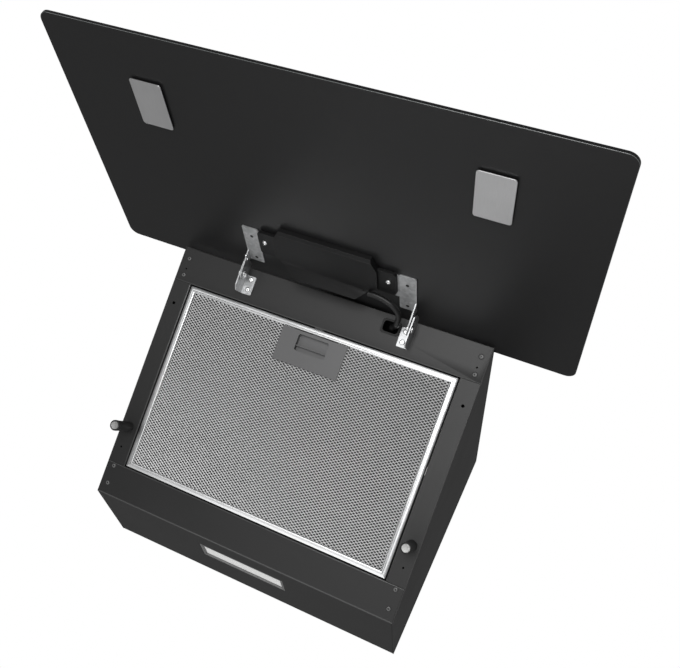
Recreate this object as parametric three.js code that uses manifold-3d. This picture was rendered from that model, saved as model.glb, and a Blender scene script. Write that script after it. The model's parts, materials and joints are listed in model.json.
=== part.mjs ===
// A slanted-glass range hood: a wedge-shaped steel body that hangs on a wall or under a cabinet, with a
// grease filter in its slanted face and a black glass panel hinged over it, shown swung open.
// Millimetres, +Z up, +X to the right, the front faces -Y, and the origin is the middle of the back panel.
import * as THREE from "three";
import { mergeVertices } from "three/addons/utils/BufferGeometryUtils.js";
import Module from "manifold-3d";

const wasm = await Module();
wasm.setup();

// ---- driving dimensions ----------------------------------------------------------------------
const BODY_W = 415; // over the two side panels
const BODY_H = 298;
const TOP_DEPTH = 288; // wall to front edge, at the top
const BOTTOM_DEPTH = 129; // wall to front edge, at the bottom
const SHEET = 1.2; // steel sheet of the body
const JOGGLE_END = 4.8; // the hidden flange behind the rail and sill stops this far from their ends
const RETURN_D = 22; // the top rail's fold over the top panel's front
const GAP = 0.3; // clearance between pieces that touch
const RAIL_H = 45; // top strip of the slanted face
const SILL_H = 42.3; // bottom strip of the slanted face
const STILE_W = 25; // side strips of the slanted face
const FLANGE_W = 14; // folded edges hidden inside the body
const LIP_DEPTH = 14; // folded edges beside the filter

const FILTER_T = 9;
const FILTER_BORDER = 8;
const FILTER_SKIN = 1; // wall of the folded aluminium frame
const FILTER_GAP = 1.4; // round the filter in its opening
const FILTER_BACK = 0.5; // its front stands this far behind the slanted face
const MESH_T = 1; // the two outer mesh sheets
const LATCH_W = 87;
const LATCH_H = 43.5;
const LATCH_T = 1.5;
const WINDOW_W = 41; // the finger window in the latch plate
const WINDOW_H = 21;
const WINDOW_DOWN = 4; // below the latch plate's top edge
const SLIDER_WALL = 1.2;
const WING_W = 5.8; // the slider's guided edges
const WING_INSET = 4;
const GUIDE_T = 1.2;
const SEAT_T = 1;
const BOLT_W = 12;
const BOLT_T = 3;
const BOLT_REACH = 4; // past the filter's edge, into the rail's lip
const SPRING_WIRE_R = 0.5;
const SPRING_TURNS = 5;

const GLASS_W = 600;
const GLASS_L = 350;
const GLASS_T = 4;
const GLASS_CORNER_R = 12;
const OPEN_DROOP = 2.2 * (Math.PI / 180); // the open panel slopes down this much from level

const AXIS_DOWN = 12; // hinge line below the body's top front edge, along the slant
const AXIS_OUT = 18; // hinge line out from the slanted face
const AXIS_TO_GLASS = 22.5; // hinge line to the inner face of the glass
const AXIS_TO_EDGE = 27; // hinge line to the panel's hinge-side edge
const HINGE_X = 111; // outer side of the upper bracket
const PLATE_T = 1.5; // bracket steel
const HINGE_PLAY = 1; // between the two brackets' flanges
const BOSS_R = 8.5;
const STOP_GAP = 0.5; // under the open glass
const FOOT_TOP = 10.7; // the lower bracket's foot, below the top front edge
const FOOT_BOTTOM = 34.6;
const FOOT_W = 15;
const PIN_R = 2.5;
const PIN_HEAD_R = 4.5;
const PIN_HEAD_T = 1.5;

const POST_INSET = 11.1; // post centre, in from the body's side
const POST_DOWN = 246; // post centre below the top front edge, along the slant
const POST_R = 6.8;
const STUD_R = 2.5;
const STUD_L = 9; // through the side strip, for its nut
const NUT_R = 5;
const NUT_T = 4;
const MAGNET_R = 5.2;
const MAGNET_T = 4;
const STRIKE_W = 38.4;
const STRIKE_L = 61.5;
const STRIKE_T = 1.2;
const STRIKE_INSET = 9.4; // strike plate's middle, in from the post's centre
const PAD_T = 1.5;
const CLOSED_GAP = 0.4; // between magnet and strike plate with the panel shut

const LED_W = 120;
const LED_D = 39;
const LED_Y = -78;
const BEZEL_W = 4;
const LENS_T = 2;
const LED_BOARD_T = 1.6;

const HOUSING_HALF_W = 66;
const HOUSING_WALL = 2;
const HOUSING_NEAR = 46; // hinge-side end, from the panel's hinge-side edge
const HOUSING_FAR = 112;
const HOUSING_DEEP = 19.5;
const HOUSING_SHALLOW = 9;
const EAR_W = 22;
const CABLE_R = 3.5;
const CABLE_BELOW = 13.5; // where the cable leaves the housing, below the glass
const CABLE_FAR = 58; // and from the panel's hinge-side edge
const SLOT_W = 24;
const SLOT_H = 18;
const SLOT_X = 85;
const SLOT_DOWN = 15.5;

const DUCT_R = 60;
const DUCT_H = 42;
const DUCT_Y = -152;
const WALL = 1.5; // plastic walls
const FAN_Y = -105;
const FAN_Z = 190;
const FAN_HALF_W = 50;
const SCROLL_R0 = 66; // scroll radius at the tongue
const SCROLL_R1 = 90; // and at the outlet
const IMPELLER_R = 61;
const BLADE_DEPTH = 11;
const BLADE_T = 1.2;
const BLADE_TURN = 0.5;
const BLADES = 24;
const SCROLL_STEPS = 40;
const INLET_R = 48;
const MOTOR_R = 34;
const SHAFT_R = 3.7;
const MOTOR_FACE = 16; // the motor's front, left of the fan's middle
const PILLAR_L = 6;
const BOX_W = 84;
const BOX_D = 46;
const BOX_H = 74;
const BOX_X = 142;
const BOX_Z = 20;
const GLAND_R = 8;
const GLAND_X = 150;
const GLAND_Y = -40;
const RIM_R = 74; // the duct collar's base flange
const ROD_R = 2;
const ROD_UP = 16; // damper rod above the top panel
const BARREL_R = 3.4;
const FLAP_T = 1;
const RAIL_HOLE = [28, 1.2]; // below the top front edge, and radius
const STILE_HOLES = [
  [75, 2],
  [273.5, 1.3],
];
const FOOT_SCREWS = [15.3, 28.3]; // bracket screws, below the top front edge
const FOOT_SCREW_X = 104.5;
const SCREW_R = 1.6;
const SCREW_HEAD_R = 3.2;
const SCREW_HEAD_T = 1.8;
const PLATE_SCREWS = [40, 80]; // from the panel's hinge-side edge
const PLATE_NEAR = 33; // the upper bracket's plate, from the panel's hinge-side edge
const PLATE_FAR = 96;
const PLATE_W = 21;
const TAB_NEAR = 54;
const TAB_FAR = 93;
const EAR_SCREW_FAR = 83; // from the panel's hinge-side edge
const EAR_SCREW_X = 79;
const EAR_T = 4;

// ---- derived places --------------------------------------------------------------------------
const SLANT = Math.atan2(TOP_DEPTH - BOTTOM_DEPTH, BODY_H);
const FACE_L = Math.hypot(TOP_DEPTH - BOTTOM_DEPTH, BODY_H);
const OPENING_W = BODY_W - 2 * STILE_W;
const POST_X = BODY_W / 2 - POST_INSET;
const STRIKE_X = POST_X - STRIKE_INSET;
const FILTER_W = OPENING_W - 2 * FILTER_GAP;
const FILTER_TOP = RAIL_H + FILTER_GAP; // below the top front edge
const FILTER_BOTTOM = FACE_L - SILL_H - FILTER_GAP;
const INNER_HALF_W = BODY_W / 2 - SHEET - GAP;
const CLOSED_HEIGHT = AXIS_OUT + AXIS_TO_GLASS; // slanted face to shut glass
const POST_H = CLOSED_HEIGHT - CLOSED_GAP - STRIKE_T - PAD_T - 2 * GAP;
const STRIKE_FROM_EDGE = POST_DOWN - AXIS_DOWN + AXIS_TO_EDGE;
const BOLT_BACK = FILTER_BACK + FILTER_T - FILTER_SKIN - 2 * GAP - BOLT_T;
const SPRING_R = FILTER_T / 2 - FILTER_SKIN - 2 * GAP - SPRING_WIRE_R;
const LATCH_TOP = FILTER_TOP + FILTER_BORDER + GAP;
const WINDOW_TOP = LATCH_TOP + WINDOW_DOWN;
const SLIDER_TOP = WINDOW_TOP - SLIDER_WALL;
const SLIDER_BOTTOM = WINDOW_TOP + WINDOW_H + SLIDER_WALL;
const GUIDE_X = WINDOW_W / 2 + SLIDER_WALL + WING_W + GAP;
const GUIDE_SPAN = [-SLIDER_BOTTOM - 2, -SLIDER_TOP - WING_INSET];
const WELL_HALF_W = GUIDE_X + GUIDE_T + GAP;
const LATCH_FOOT = LATCH_TOP + LATCH_H - 3; // the spring's seat

// ---- colours ---------------------------------------------------------------------------------
const paint = (color, roughness, metalness = 0) =>
  new THREE.MeshStandardMaterial({ color, roughness, metalness });
const BLACK_STEEL = paint(0x2e2e2f, 0.55, 0.2);
const BLACK_GLASS = paint(0x121213, 0.08);
const BLACK_PLASTIC = paint(0x1b1b1c, 0.5);
const GREY_PLASTIC = paint(0x5c5d5f, 0.5);
const GALVANISED = paint(0xa9abad, 0.4, 1);
const ALUMINIUM = paint(0xc9cacc, 0.35, 1);
const STEEL = paint(0x8f9194, 0.35, 1);
const DIFFUSER = paint(0xb9babb, 0.6);
const BOARD = paint(0x1f5a38, 0.6);
const FOAM = paint(0x3a3a3b, 0.9);
const RUBBER = paint(0x161617, 0.8);

// ---- solids ----------------------------------------------------------------------------------
// A three.js geometry as a manifold-3d solid.
function solid(geometry) {
  const plain = geometry.index ? geometry.toNonIndexed() : geometry.clone();
  plain.deleteAttribute("normal");
  plain.deleteAttribute("uv");
  const merged = mergeVertices(plain, 1e-4);
  return manifoldOf(merged.attributes.position.array, merged.index.array);
}

// Triangles whose corners were merged into one another are left out.
function manifoldOf(corners, index) {
  const triVerts = [];
  for (let i = 0; i < index.length; i += 3) {
    const [a, b, c] = index.slice(i, i + 3);
    if (a !== b && b !== c && c !== a) triVerts.push(a, b, c);
  }
  const mesh = { numProp: 3, vertProperties: corners, triVerts: new Uint32Array(triVerts) };
  return new wasm.Manifold(new wasm.Mesh(mesh));
}

// A manifold-3d solid as a three.js geometry.
function geometryOf(shape) {
  const m = shape.getMesh();
  const corners = new Float32Array(m.numVert * 3);
  for (let i = 0; i < m.numVert; i++)
    corners.set(m.vertProperties.subarray(i * m.numProp, i * m.numProp + 3), i * 3);
  const g = new THREE.BufferGeometry();
  g.setAttribute("position", new THREE.BufferAttribute(corners, 3));
  g.setIndex(new THREE.BufferAttribute(m.triVerts, 1));
  return g;
}

// A solid moved, turned or mirrored by a matrix. A mirror turns each triangle round.
function placed(shape, matrix) {
  const g = geometryOf(shape).applyMatrix4(matrix);
  const index = g.index.array;
  const mirrored = matrix.determinant() < 0;
  return manifoldOf(g.attributes.position.array, mirrored ? index.slice().reverse() : index);
}

const join = (...parts) => parts.reduce((a, b) => a.add(b));
const cut = (body, ...tools) => tools.reduce((a, b) => a.subtract(b), body);

// A box between two corners.
function box([x0, x1], [y0, y1], [z0, z1]) {
  const g = new THREE.BoxGeometry(x1 - x0, y1 - y0, z1 - z0);
  return solid(g.translate((x0 + x1) / 2, (y0 + y1) / 2, (z0 + z1) / 2));
}

const AXES = {
  x: [new THREE.Vector3(0, 1, 0), new THREE.Vector3(0, 0, 1), new THREE.Vector3(1, 0, 0)],
  y: [new THREE.Vector3(0, 0, 1), new THREE.Vector3(1, 0, 0), new THREE.Vector3(0, 1, 0)],
  z: [new THREE.Vector3(1, 0, 0), new THREE.Vector3(0, 1, 0), new THREE.Vector3(0, 0, 1)],
};

// A flat outline swept along an axis: along x its points are (y, z), along y (z, x), along z (x, y).
function sweep(outline, axis, from, to, curveSegments = 6) {
  const shape = outline instanceof THREE.Shape ? outline : new THREE.Shape(outline.map(vec2));
  const g = new THREE.ExtrudeGeometry(shape, { depth: to - from, bevelEnabled: false, curveSegments });
  g.translate(0, 0, from).applyMatrix4(new THREE.Matrix4().makeBasis(...AXES[axis]));
  return solid(g);
}
const vec2 = ([u, v]) => new THREE.Vector2(u, v);

function roundRect(u0, u1, v0, v1, r) {
  const s = new THREE.Shape();
  s.moveTo(u0 + r, v0);
  s.lineTo(u1 - r, v0);
  s.absarc(u1 - r, v0 + r, r, -Math.PI / 2, 0);
  s.lineTo(u1, v1 - r);
  s.absarc(u1 - r, v1 - r, r, 0, Math.PI / 2);
  s.lineTo(u0 + r, v1);
  s.absarc(u0 + r, v1 - r, r, Math.PI / 2, Math.PI);
  s.lineTo(u0, v0 + r);
  s.absarc(u0 + r, v0 + r, r, Math.PI, 1.5 * Math.PI);
  return s;
}

// A round bar along an axis, centred on (u, v) in that axis's outline plane.
function bar(r, axis, from, to, u, v, sides = 24) {
  const shape = new THREE.Shape();
  shape.absarc(u, v, r, 0, 2 * Math.PI);
  return sweep(shape, axis, from, to, sides / 2);
}

const flipX = (shape) => placed(shape, new THREE.Matrix4().makeScale(-1, 1, 1));
const bySide = (side, s) => (side < 0 ? flipX(s) : s);
const SIDES = [
  ["left", -1],
  ["right", 1],
];

// ---- the scene graph -------------------------------------------------------------------------
// body: z from the hood's lower edge, y from the wall.
// face: on the slanted face, y into the body, z up the slant from the top front edge.
// panel: on the inner face of the open glass, y down from it, z towards the wall from its hinge edge.
const hood = new THREE.Group();
const body = new THREE.Group();
body.position.z = -BODY_H / 2;
const face = new THREE.Group();
face.position.set(0, -TOP_DEPTH, BODY_H);
face.rotation.x = SLANT;
const hinge = new THREE.Group();
hinge.position.set(0, -AXIS_OUT, -AXIS_DOWN);
hinge.rotation.x = -(Math.PI / 2 - OPEN_DROOP) - SLANT;
const panel = new THREE.Group();
panel.position.set(0, -AXIS_TO_GLASS, AXIS_TO_EDGE);
hood.add(body);
body.add(face);
face.add(hinge);
hinge.add(panel);
hood.updateMatrixWorld(true);

function add(group, name, shape, material) {
  const g = geometryOf(shape);
  g.computeVertexNormals();
  const mesh = new THREE.Mesh(g, material);
  mesh.name = name;
  group.add(mesh);
}

// A solid drawn in one group, moved into another.
function moved(shape, from, to) {
  return placed(shape, to.matrixWorld.clone().invert().multiply(from.matrixWorld));
}

const slanted = (shape) => moved(shape, face, body);
const throughFace = (x, down, r) => bar(r, "y", -SHEET * 4, SHEET * 4, -down, x, 16);

// ---- the body --------------------------------------------------------------------------------
function sidePanel(side) {
  const sheet = sweep(
    [
      [0, 0],
      [0, BODY_H],
      [-TOP_DEPTH, BODY_H],
      [-BOTTOM_DEPTH, 0],
    ],
    "x",
    BODY_W / 2 - SHEET,
    BODY_W / 2,
  );
  const inside = BODY_W / 2 - SHEET / 2;
  const stileSpan = [-(FACE_L - SILL_H) + GAP, -RAIL_H - GAP];
  const stile = box([BODY_W / 2 - STILE_W, inside], [0, 2 * SHEET + GAP], stileSpan);
  const joggleSpan = [-FACE_L + JOGGLE_END, -JOGGLE_END];
  const joggle = box([BODY_W / 2 - STILE_W, inside], [SHEET + GAP, 2 * SHEET + GAP], joggleSpan);
  const backFlange = box(
    [BODY_W / 2 - FLANGE_W, inside],
    [-2 * SHEET - GAP, -SHEET - GAP],
    [2 * SHEET, BODY_H - 2 * SHEET],
  );
  const holes = [RAIL_HOLE, ...STILE_HOLES].map(([down, r]) => throughFace(POST_X, down, r));
  const stud = throughFace(POST_X, POST_DOWN, STUD_R + GAP);
  const front = cut(join(stile, joggle), ...holes, stud);
  return bySide(side, join(sheet, slanted(front), backFlange));
}

function backPanel() {
  const sheet = box([-INNER_HALF_W, INNER_HALF_W], [-SHEET, 0], [SHEET + GAP, BODY_H - SHEET - GAP]);
  const keyholes = [-1, 1].flatMap((s) => [
    bar(5, "y", -2 * SHEET, SHEET, BODY_H - 46, s * 150, 16),
    bar(2.6, "y", -2 * SHEET, SHEET, BODY_H - 38, s * 150, 12),
    box([s * 150 - 2.6, s * 150 + 2.6], [-2 * SHEET, SHEET], [BODY_H - 46, BODY_H - 38]),
    bar(2.6, "y", -2 * SHEET, SHEET, 24, s * 150, 12),
  ]);
  return cut(sheet, ...keyholes);
}

function topPanel() {
  const front = -TOP_DEPTH + RETURN_D + GAP;
  const sheet = box([-INNER_HALF_W, INNER_HALF_W], [front, -SHEET - GAP], [BODY_H - SHEET, BODY_H]);
  const outlet = bar(DUCT_R - 2, "z", BODY_H - 2 * SHEET, BODY_H + SHEET, 0, DUCT_Y, 48);
  const gland = bar(GLAND_R + GAP, "z", BODY_H - 2 * SHEET, BODY_H + SHEET, GLAND_X, GLAND_Y, 24);
  return cut(sheet, outlet, gland);
}

// The slot that the control cable enters by, grown all round.
function cableSlot(grow, from, to) {
  const [halfW, halfH] = [SLOT_W / 2 + grow, SLOT_H / 2 + grow];
  const z = [-SLOT_DOWN - halfH, -SLOT_DOWN + halfH];
  return sweep(roundRect(...z, SLOT_X - halfW, SLOT_X + halfW, 4), "y", from, to);
}

function topRail() {
  const strip = box([-INNER_HALF_W, INNER_HALF_W], [0, SHEET], [-RAIL_H, 0]);
  const inside = OPENING_W / 2 - FILTER_GAP;
  const lip = box([-inside, inside], [0, LIP_DEPTH], [-RAIL_H, -RAIL_H + SHEET]);
  const keeper = box(
    [-BOLT_W / 2 - 1, BOLT_W / 2 + 1],
    [BOLT_BACK - 0.5, BOLT_BACK + BOLT_T + 0.5],
    [-RAIL_H - SHEET, -RAIL_H + 2 * SHEET],
  );
  const holes = [-1, 1].flatMap((s) => [
    throughFace(s * POST_X, ...RAIL_HOLE),
    ...FOOT_SCREWS.map((down) => throughFace(s * FOOT_SCREW_X, down, SCREW_R + GAP)),
  ]);
  const fold = box(
    [-INNER_HALF_W, INNER_HALF_W],
    [-TOP_DEPTH, -TOP_DEPTH + RETURN_D],
    [BODY_H - SHEET, BODY_H],
  );
  const above = box([-BODY_W, BODY_W], [-2 * TOP_DEPTH, 0], [BODY_H, 2 * BODY_H]);
  const front = cut(join(strip, lip), keeper, cableSlot(0, -SHEET, 2 * SHEET), ...holes);
  return cut(join(slanted(front), trimToFront(fold)), above);
}

// Cuts away what a level or upright sheet would put in front of the slanted face.
function trimToFront(shape) {
  const air = box([-BODY_W, BODY_W], [-TOP_DEPTH, 0], [-2 * FACE_L, FACE_L]);
  return cut(shape, slanted(air));
}

function sill() {
  const strip = box([-INNER_HALF_W, INNER_HALF_W], [0, SHEET], [-FACE_L, -(FACE_L - SILL_H)]);
  const inside = OPENING_W / 2 - FILTER_GAP;
  const lip = box([-inside, inside], [0, LIP_DEPTH], [-(FACE_L - SILL_H) - SHEET, -(FACE_L - SILL_H)]);
  const floor = box([-INNER_HALF_W, INNER_HALF_W], [-BOTTOM_DEPTH, -SHEET - GAP], [0, SHEET]);
  const window = box(
    [-LED_W / 2, LED_W / 2],
    [LED_Y - LED_D / 2, LED_Y + LED_D / 2],
    [-SHEET, 2 * SHEET],
  );
  const below = box([-BODY_W, BODY_W], [-TOP_DEPTH, 0], [-2 * SILL_H, 0]);
  return cut(join(slanted(join(strip, lip)), trimToFront(floor)), window, below);
}

// ---- the grease filter -----------------------------------------------------------------------
const inFilter = (inset) => [
  [-FILTER_W / 2 + inset, FILTER_W / 2 - inset],
  [-FILTER_BOTTOM + inset, -FILTER_TOP - inset],
];
const behind = (from, to) => [FILTER_BACK + from, FILTER_BACK + to];

function filterFrame() {
  const [x, z] = inFilter(0);
  const [xIn, zIn] = inFilter(FILTER_BORDER);
  const [xFold, zFold] = inFilter(FILTER_SKIN);
  const outer = box(x, behind(0, FILTER_T), z);
  const hole = box(xIn, behind(-1, FILTER_T + 1), zIn);
  const fold = box(xFold, behind(FILTER_SKIN, FILTER_T - FILTER_SKIN), zFold);
  const boltHole = box(
    [-BOLT_W / 2 - 0.5, BOLT_W / 2 + 0.5],
    [BOLT_BACK - 0.5, BOLT_BACK + BOLT_T + 0.5],
    [-FILTER_TOP - FILTER_BORDER, -FILTER_TOP + 1],
  );
  return cut(outer, hole, fold, boltHole);
}

// Three layers share the frame's fold, and leave a well for the latch behind its plate.
function filterLayer(from, to) {
  const [x, z] = inFilter(FILTER_SKIN + GAP);
  const well = box(
    [-WELL_HALF_W, WELL_HALF_W],
    behind(0, FILTER_T),
    [-LATCH_FOOT - SEAT_T - GAP, -FILTER_TOP],
  );
  return cut(box(x, behind(from, to), z), well);
}
const MESH_FRONT = FILTER_SKIN + GAP;
const MESH_BACK = FILTER_T - FILTER_SKIN - GAP;

// ---- the filter's latch ----------------------------------------------------------------------
const SLIDER_FRONT = FILTER_SKIN + GAP;
const SLIDER_BACK = FILTER_T - FILTER_SKIN - GAP;

function latchPlate() {
  const y = behind(FILTER_SKIN - LATCH_T, FILTER_SKIN);
  const outline = roundRect(-LATCH_TOP - LATCH_H, -LATCH_TOP, -LATCH_W / 2, LATCH_W / 2, 1.5);
  const windowSpan = [-WINDOW_TOP - WINDOW_H, -WINDOW_TOP];
  const window = roundRect(...windowSpan, -WINDOW_W / 2, WINDOW_W / 2, 3);
  const seat = box([-8, 8], behind(0.5, SLIDER_BACK), [-LATCH_FOOT - SEAT_T, -LATCH_FOOT]);
  const guide = join(
    box([GUIDE_X, GUIDE_X + GUIDE_T], behind(0.5, SLIDER_FRONT + SLIDER_WALL + GAP + GUIDE_T), GUIDE_SPAN),
    box(
      [GUIDE_X - 2, GUIDE_X + GUIDE_T],
      behind(SLIDER_FRONT + SLIDER_WALL + GAP, SLIDER_FRONT + SLIDER_WALL + GAP + GUIDE_T),
      GUIDE_SPAN,
    ),
  );
  const plate = cut(sweep(outline, "y", ...y), sweep(window, "y", y[0] - 1, y[1] + 1));
  return join(plate, seat, guide, flipX(guide));
}

// A finger tray behind the window, with a rib to pull on and a bolt that enters the rail's lip.
function latchSlider() {
  const half = WINDOW_W / 2 + SLIDER_WALL;
  const tray = box([-half, half], behind(SLIDER_FRONT, SLIDER_BACK), [-SLIDER_BOTTOM, -SLIDER_TOP]);
  const pocket = box(
    [-half + SLIDER_WALL, half - SLIDER_WALL],
    behind(0, SLIDER_BACK - SLIDER_WALL),
    [-SLIDER_BOTTOM + SLIDER_WALL, -SLIDER_TOP - SLIDER_WALL],
  );
  const wing = box(
    [half - 0.5, half + WING_W],
    behind(SLIDER_FRONT, SLIDER_FRONT + SLIDER_WALL),
    [-SLIDER_BOTTOM + WING_INSET, -SLIDER_TOP - WING_INSET],
  );
  const ribDown = WINDOW_TOP + (2 / 3) * WINDOW_H;
  const rib = box([-half + 0.5, half - 0.5], behind(SLIDER_FRONT, SLIDER_BACK - 0.5), [
    -ribDown - SLIDER_WALL,
    -ribDown,
  ]);
  const bolt = box(
    [-BOLT_W / 2, BOLT_W / 2],
    [BOLT_BACK, BOLT_BACK + BOLT_T],
    [-SLIDER_TOP - 0.5, -FILTER_TOP + BOLT_REACH],
  );
  return join(cut(tray, pocket), wing, flipX(wing), rib, bolt);
}

class Helix extends THREE.Curve {
  constructor(radius, turns, at, from, to) {
    super();
    Object.assign(this, { radius, turns, at, from, to });
  }
  getPoint(t, target = new THREE.Vector3()) {
    const a = t * this.turns * 2 * Math.PI;
    const z = this.from + t * (this.to - this.from);
    return target.set(this.radius * Math.cos(a), this.at + this.radius * Math.sin(a), z);
  }
}

// A round wire or cable along a curve.
function tube(path, r, steps, sides) {
  const section = new THREE.Shape();
  for (let i = 0; i < sides; i++) {
    const a = (i / sides) * 2 * Math.PI;
    section[i ? "lineTo" : "moveTo"](r * Math.cos(a), r * Math.sin(a));
  }
  section.closePath();
  return solid(new THREE.ExtrudeGeometry(section, { extrudePath: path, steps, bevelEnabled: false }));
}

function latchSpring() {
  const from = -SLIDER_BOTTOM - GAP - SPRING_WIRE_R;
  const to = -LATCH_FOOT + GAP + SPRING_WIRE_R;
  const path = new Helix(SPRING_R, SPRING_TURNS, FILTER_BACK + FILTER_T / 2, from, to);
  return tube(path, SPRING_WIRE_R, SPRING_TURNS * 12, 6);
}

// ---- the light -------------------------------------------------------------------------------
// A box over the light's opening in the sill, grown all round.
const overLight = (grow, from, to) =>
  box(
    [-LED_W / 2 - grow, LED_W / 2 + grow],
    [LED_Y - LED_D / 2 - grow, LED_Y + LED_D / 2 + grow],
    [from, to],
  );
const LENS_UP = SHEET + GAP + 0.8;
const BOARD_UP = LENS_UP + LENS_T + GAP;

function ledBezel() {
  const neck = overLight(-GAP, 0.2, SHEET + 1);
  const seat = overLight(BEZEL_W, SHEET + GAP, BOARD_UP + LED_BOARD_T);
  return cut(join(neck, seat), overLight(-BEZEL_W, -1, 20), overLight(-BEZEL_W / 2, LENS_UP, 20));
}
const ledLens = () => overLight(-BEZEL_W / 2 - GAP, LENS_UP + GAP, LENS_UP + LENS_T);
const ledBoard = () => overLight(-BEZEL_W / 2 - GAP, BOARD_UP, BOARD_UP + LED_BOARD_T);

// ---- posts that hold the shut glass ----------------------------------------------------------
function post(side) {
  const barrel = bar(POST_R, "y", -POST_H, -GAP, -POST_DOWN, POST_X, 32);
  const socket = bar(MAGNET_R + GAP, "y", -POST_H - 1, -POST_H + MAGNET_T, -POST_DOWN, POST_X, 32);
  const stud = bar(STUD_R, "y", -GAP - 1, STUD_L, -POST_DOWN, POST_X, 16);
  return bySide(side, join(cut(barrel, socket), stud));
}

const magnet = (side) =>
  bySide(side, bar(MAGNET_R, "y", -POST_H, -POST_H + MAGNET_T - GAP, -POST_DOWN, POST_X, 32));

function postNut(side) {
  const inner = 2 * SHEET + 2 * GAP;
  const nut = bar(NUT_R, "y", inner, inner + NUT_T, -POST_DOWN, POST_X, 6);
  const bore = bar(STUD_R + GAP, "y", 0, inner + NUT_T + 1, -POST_DOWN, POST_X, 16);
  return bySide(side, cut(nut, bore));
}

// ---- the glass and what it carries -----------------------------------------------------------
// On the panel: y down from the inner face, z = -distance from the hinge-side edge.
const outFrom = (near, far) => [-far, -near];
const UNDER = GAP; // top of a piece fixed under the glass
const UNDER_PLATE = GAP + PLATE_T + GAP;

function glassPanel() {
  const outline = roundRect(...outFrom(0, GLASS_L), -GLASS_W / 2, GLASS_W / 2, GLASS_CORNER_R);
  return sweep(outline, "y", -GLASS_T, 0, 8);
}

function strike(side, inset, from, to) {
  const z = outFrom(
    STRIKE_FROM_EDGE - STRIKE_L / 2 + inset,
    STRIKE_FROM_EDGE + STRIKE_L / 2 - inset,
  );
  const x = [STRIKE_X - STRIKE_W / 2 + inset, STRIKE_X + STRIKE_W / 2 - inset];
  return bySide(side, sweep(roundRect(...z, ...x, 3), "y", from, to));
}

function upperBracket(side) {
  const inner = HINGE_X - PLATE_W;
  const z = outFrom(PLATE_NEAR, PLATE_FAR);
  const plate = sweep(roundRect(...z, inner, HINGE_X, 2), "y", UNDER, UNDER + PLATE_T);
  const tab = box(
    [HOUSING_HALF_W + 1, inner + 3],
    [UNDER, UNDER + PLATE_T],
    outFrom(TAB_NEAR, TAB_FAR),
  );
  // The flange hangs from the plate's outer edge down round the hinge pin.
  const flange = sweep(
    [
      [UNDER, -PLATE_NEAR - 2],
      [UNDER, -PLATE_NEAR - 18],
      [AXIS_TO_GLASS - 6, -AXIS_TO_EDGE - 14],
      [AXIS_TO_GLASS + 4, -AXIS_TO_EDGE - 8],
      [AXIS_TO_GLASS - 3, -AXIS_TO_EDGE + 8],
    ],
    "x",
    HINGE_X - PLATE_T,
    HINGE_X,
  );
  const boss = bar(BOSS_R, "x", HINGE_X - PLATE_T, HINGE_X, AXIS_TO_GLASS, -AXIS_TO_EDGE, 24);
  const pinHole = bar(PIN_R + GAP, "x", HINGE_X - 5, HINGE_X + 5, AXIS_TO_GLASS, -AXIS_TO_EDGE, 24);
  const screwHoles = PLATE_SCREWS.map((far) => bar(SCREW_R, "y", -1, 4, -far, HINGE_X - 11, 12));
  const earHole = bar(SCREW_R + GAP, "y", -1, 4, -EAR_SCREW_FAR, EAR_SCREW_X, 12);
  return bySide(side, cut(join(plate, tab, flange, boss), pinHole, ...screwHoles, earHole));
}

// The foot is screwed to the top rail. The flange's upper corner stops the open glass.
function lowerBracket(side) {
  const inner = HINGE_X + HINGE_PLAY;
  const outer = inner + PLATE_T;
  const z = [-FOOT_BOTTOM, -FOOT_TOP];
  const foot = sweep(roundRect(...z, outer - FOOT_W, outer, 1.5), "y", -GAP - PLATE_T, -GAP);
  const flange = sweep(
    [
      [-GAP, -FOOT_BOTTOM],
      [-18, -FOOT_BOTTOM],
      [-AXIS_OUT - 6, -FOOT_BOTTOM + 6],
      [-AXIS_OUT - 6, -AXIS_DOWN + 14],
      [-AXIS_OUT + 4, -AXIS_DOWN + 18],
      [-GAP, -AXIS_DOWN + 18],
    ],
    "x",
    inner,
    outer,
  );
  const glassRoom = moved(box([0, BODY_W], [-200, STOP_GAP], [-300, 300]), panel, face);
  const pinHole = bar(PIN_R + GAP, "x", inner - 5, outer + 5, -AXIS_OUT, -AXIS_DOWN, 24);
  const screwHoles = FOOT_SCREWS.map((down) => throughFace(FOOT_SCREW_X, down, SCREW_R + GAP));
  return bySide(side, cut(join(foot, flange), glassRoom, pinHole, ...screwHoles));
}

function footScrew(side, down) {
  const top = -GAP - PLATE_T - GAP;
  const head = bar(SCREW_HEAD_R, "y", top - SCREW_HEAD_T, top, -down, FOOT_SCREW_X, 16);
  const shank = bar(SCREW_R, "y", top - 0.5, SHEET + 6, -down, FOOT_SCREW_X, 12);
  return bySide(side, join(head, shank));
}

function hingePin(side) {
  const inner = HINGE_X - PLATE_T - GAP;
  const outer = HINGE_X + HINGE_PLAY + PLATE_T + GAP;
  const at = [-AXIS_OUT, -AXIS_DOWN];
  const shank = bar(PIN_R, "x", inner - 0.5, outer + 0.5, ...at, 24);
  const heads = [
    bar(PIN_HEAD_R, "x", inner - PIN_HEAD_T, inner, ...at, 24),
    bar(PIN_HEAD_R, "x", outer, outer + PIN_HEAD_T, ...at, 24),
  ];
  return bySide(side, join(shank, ...heads));
}

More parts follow.
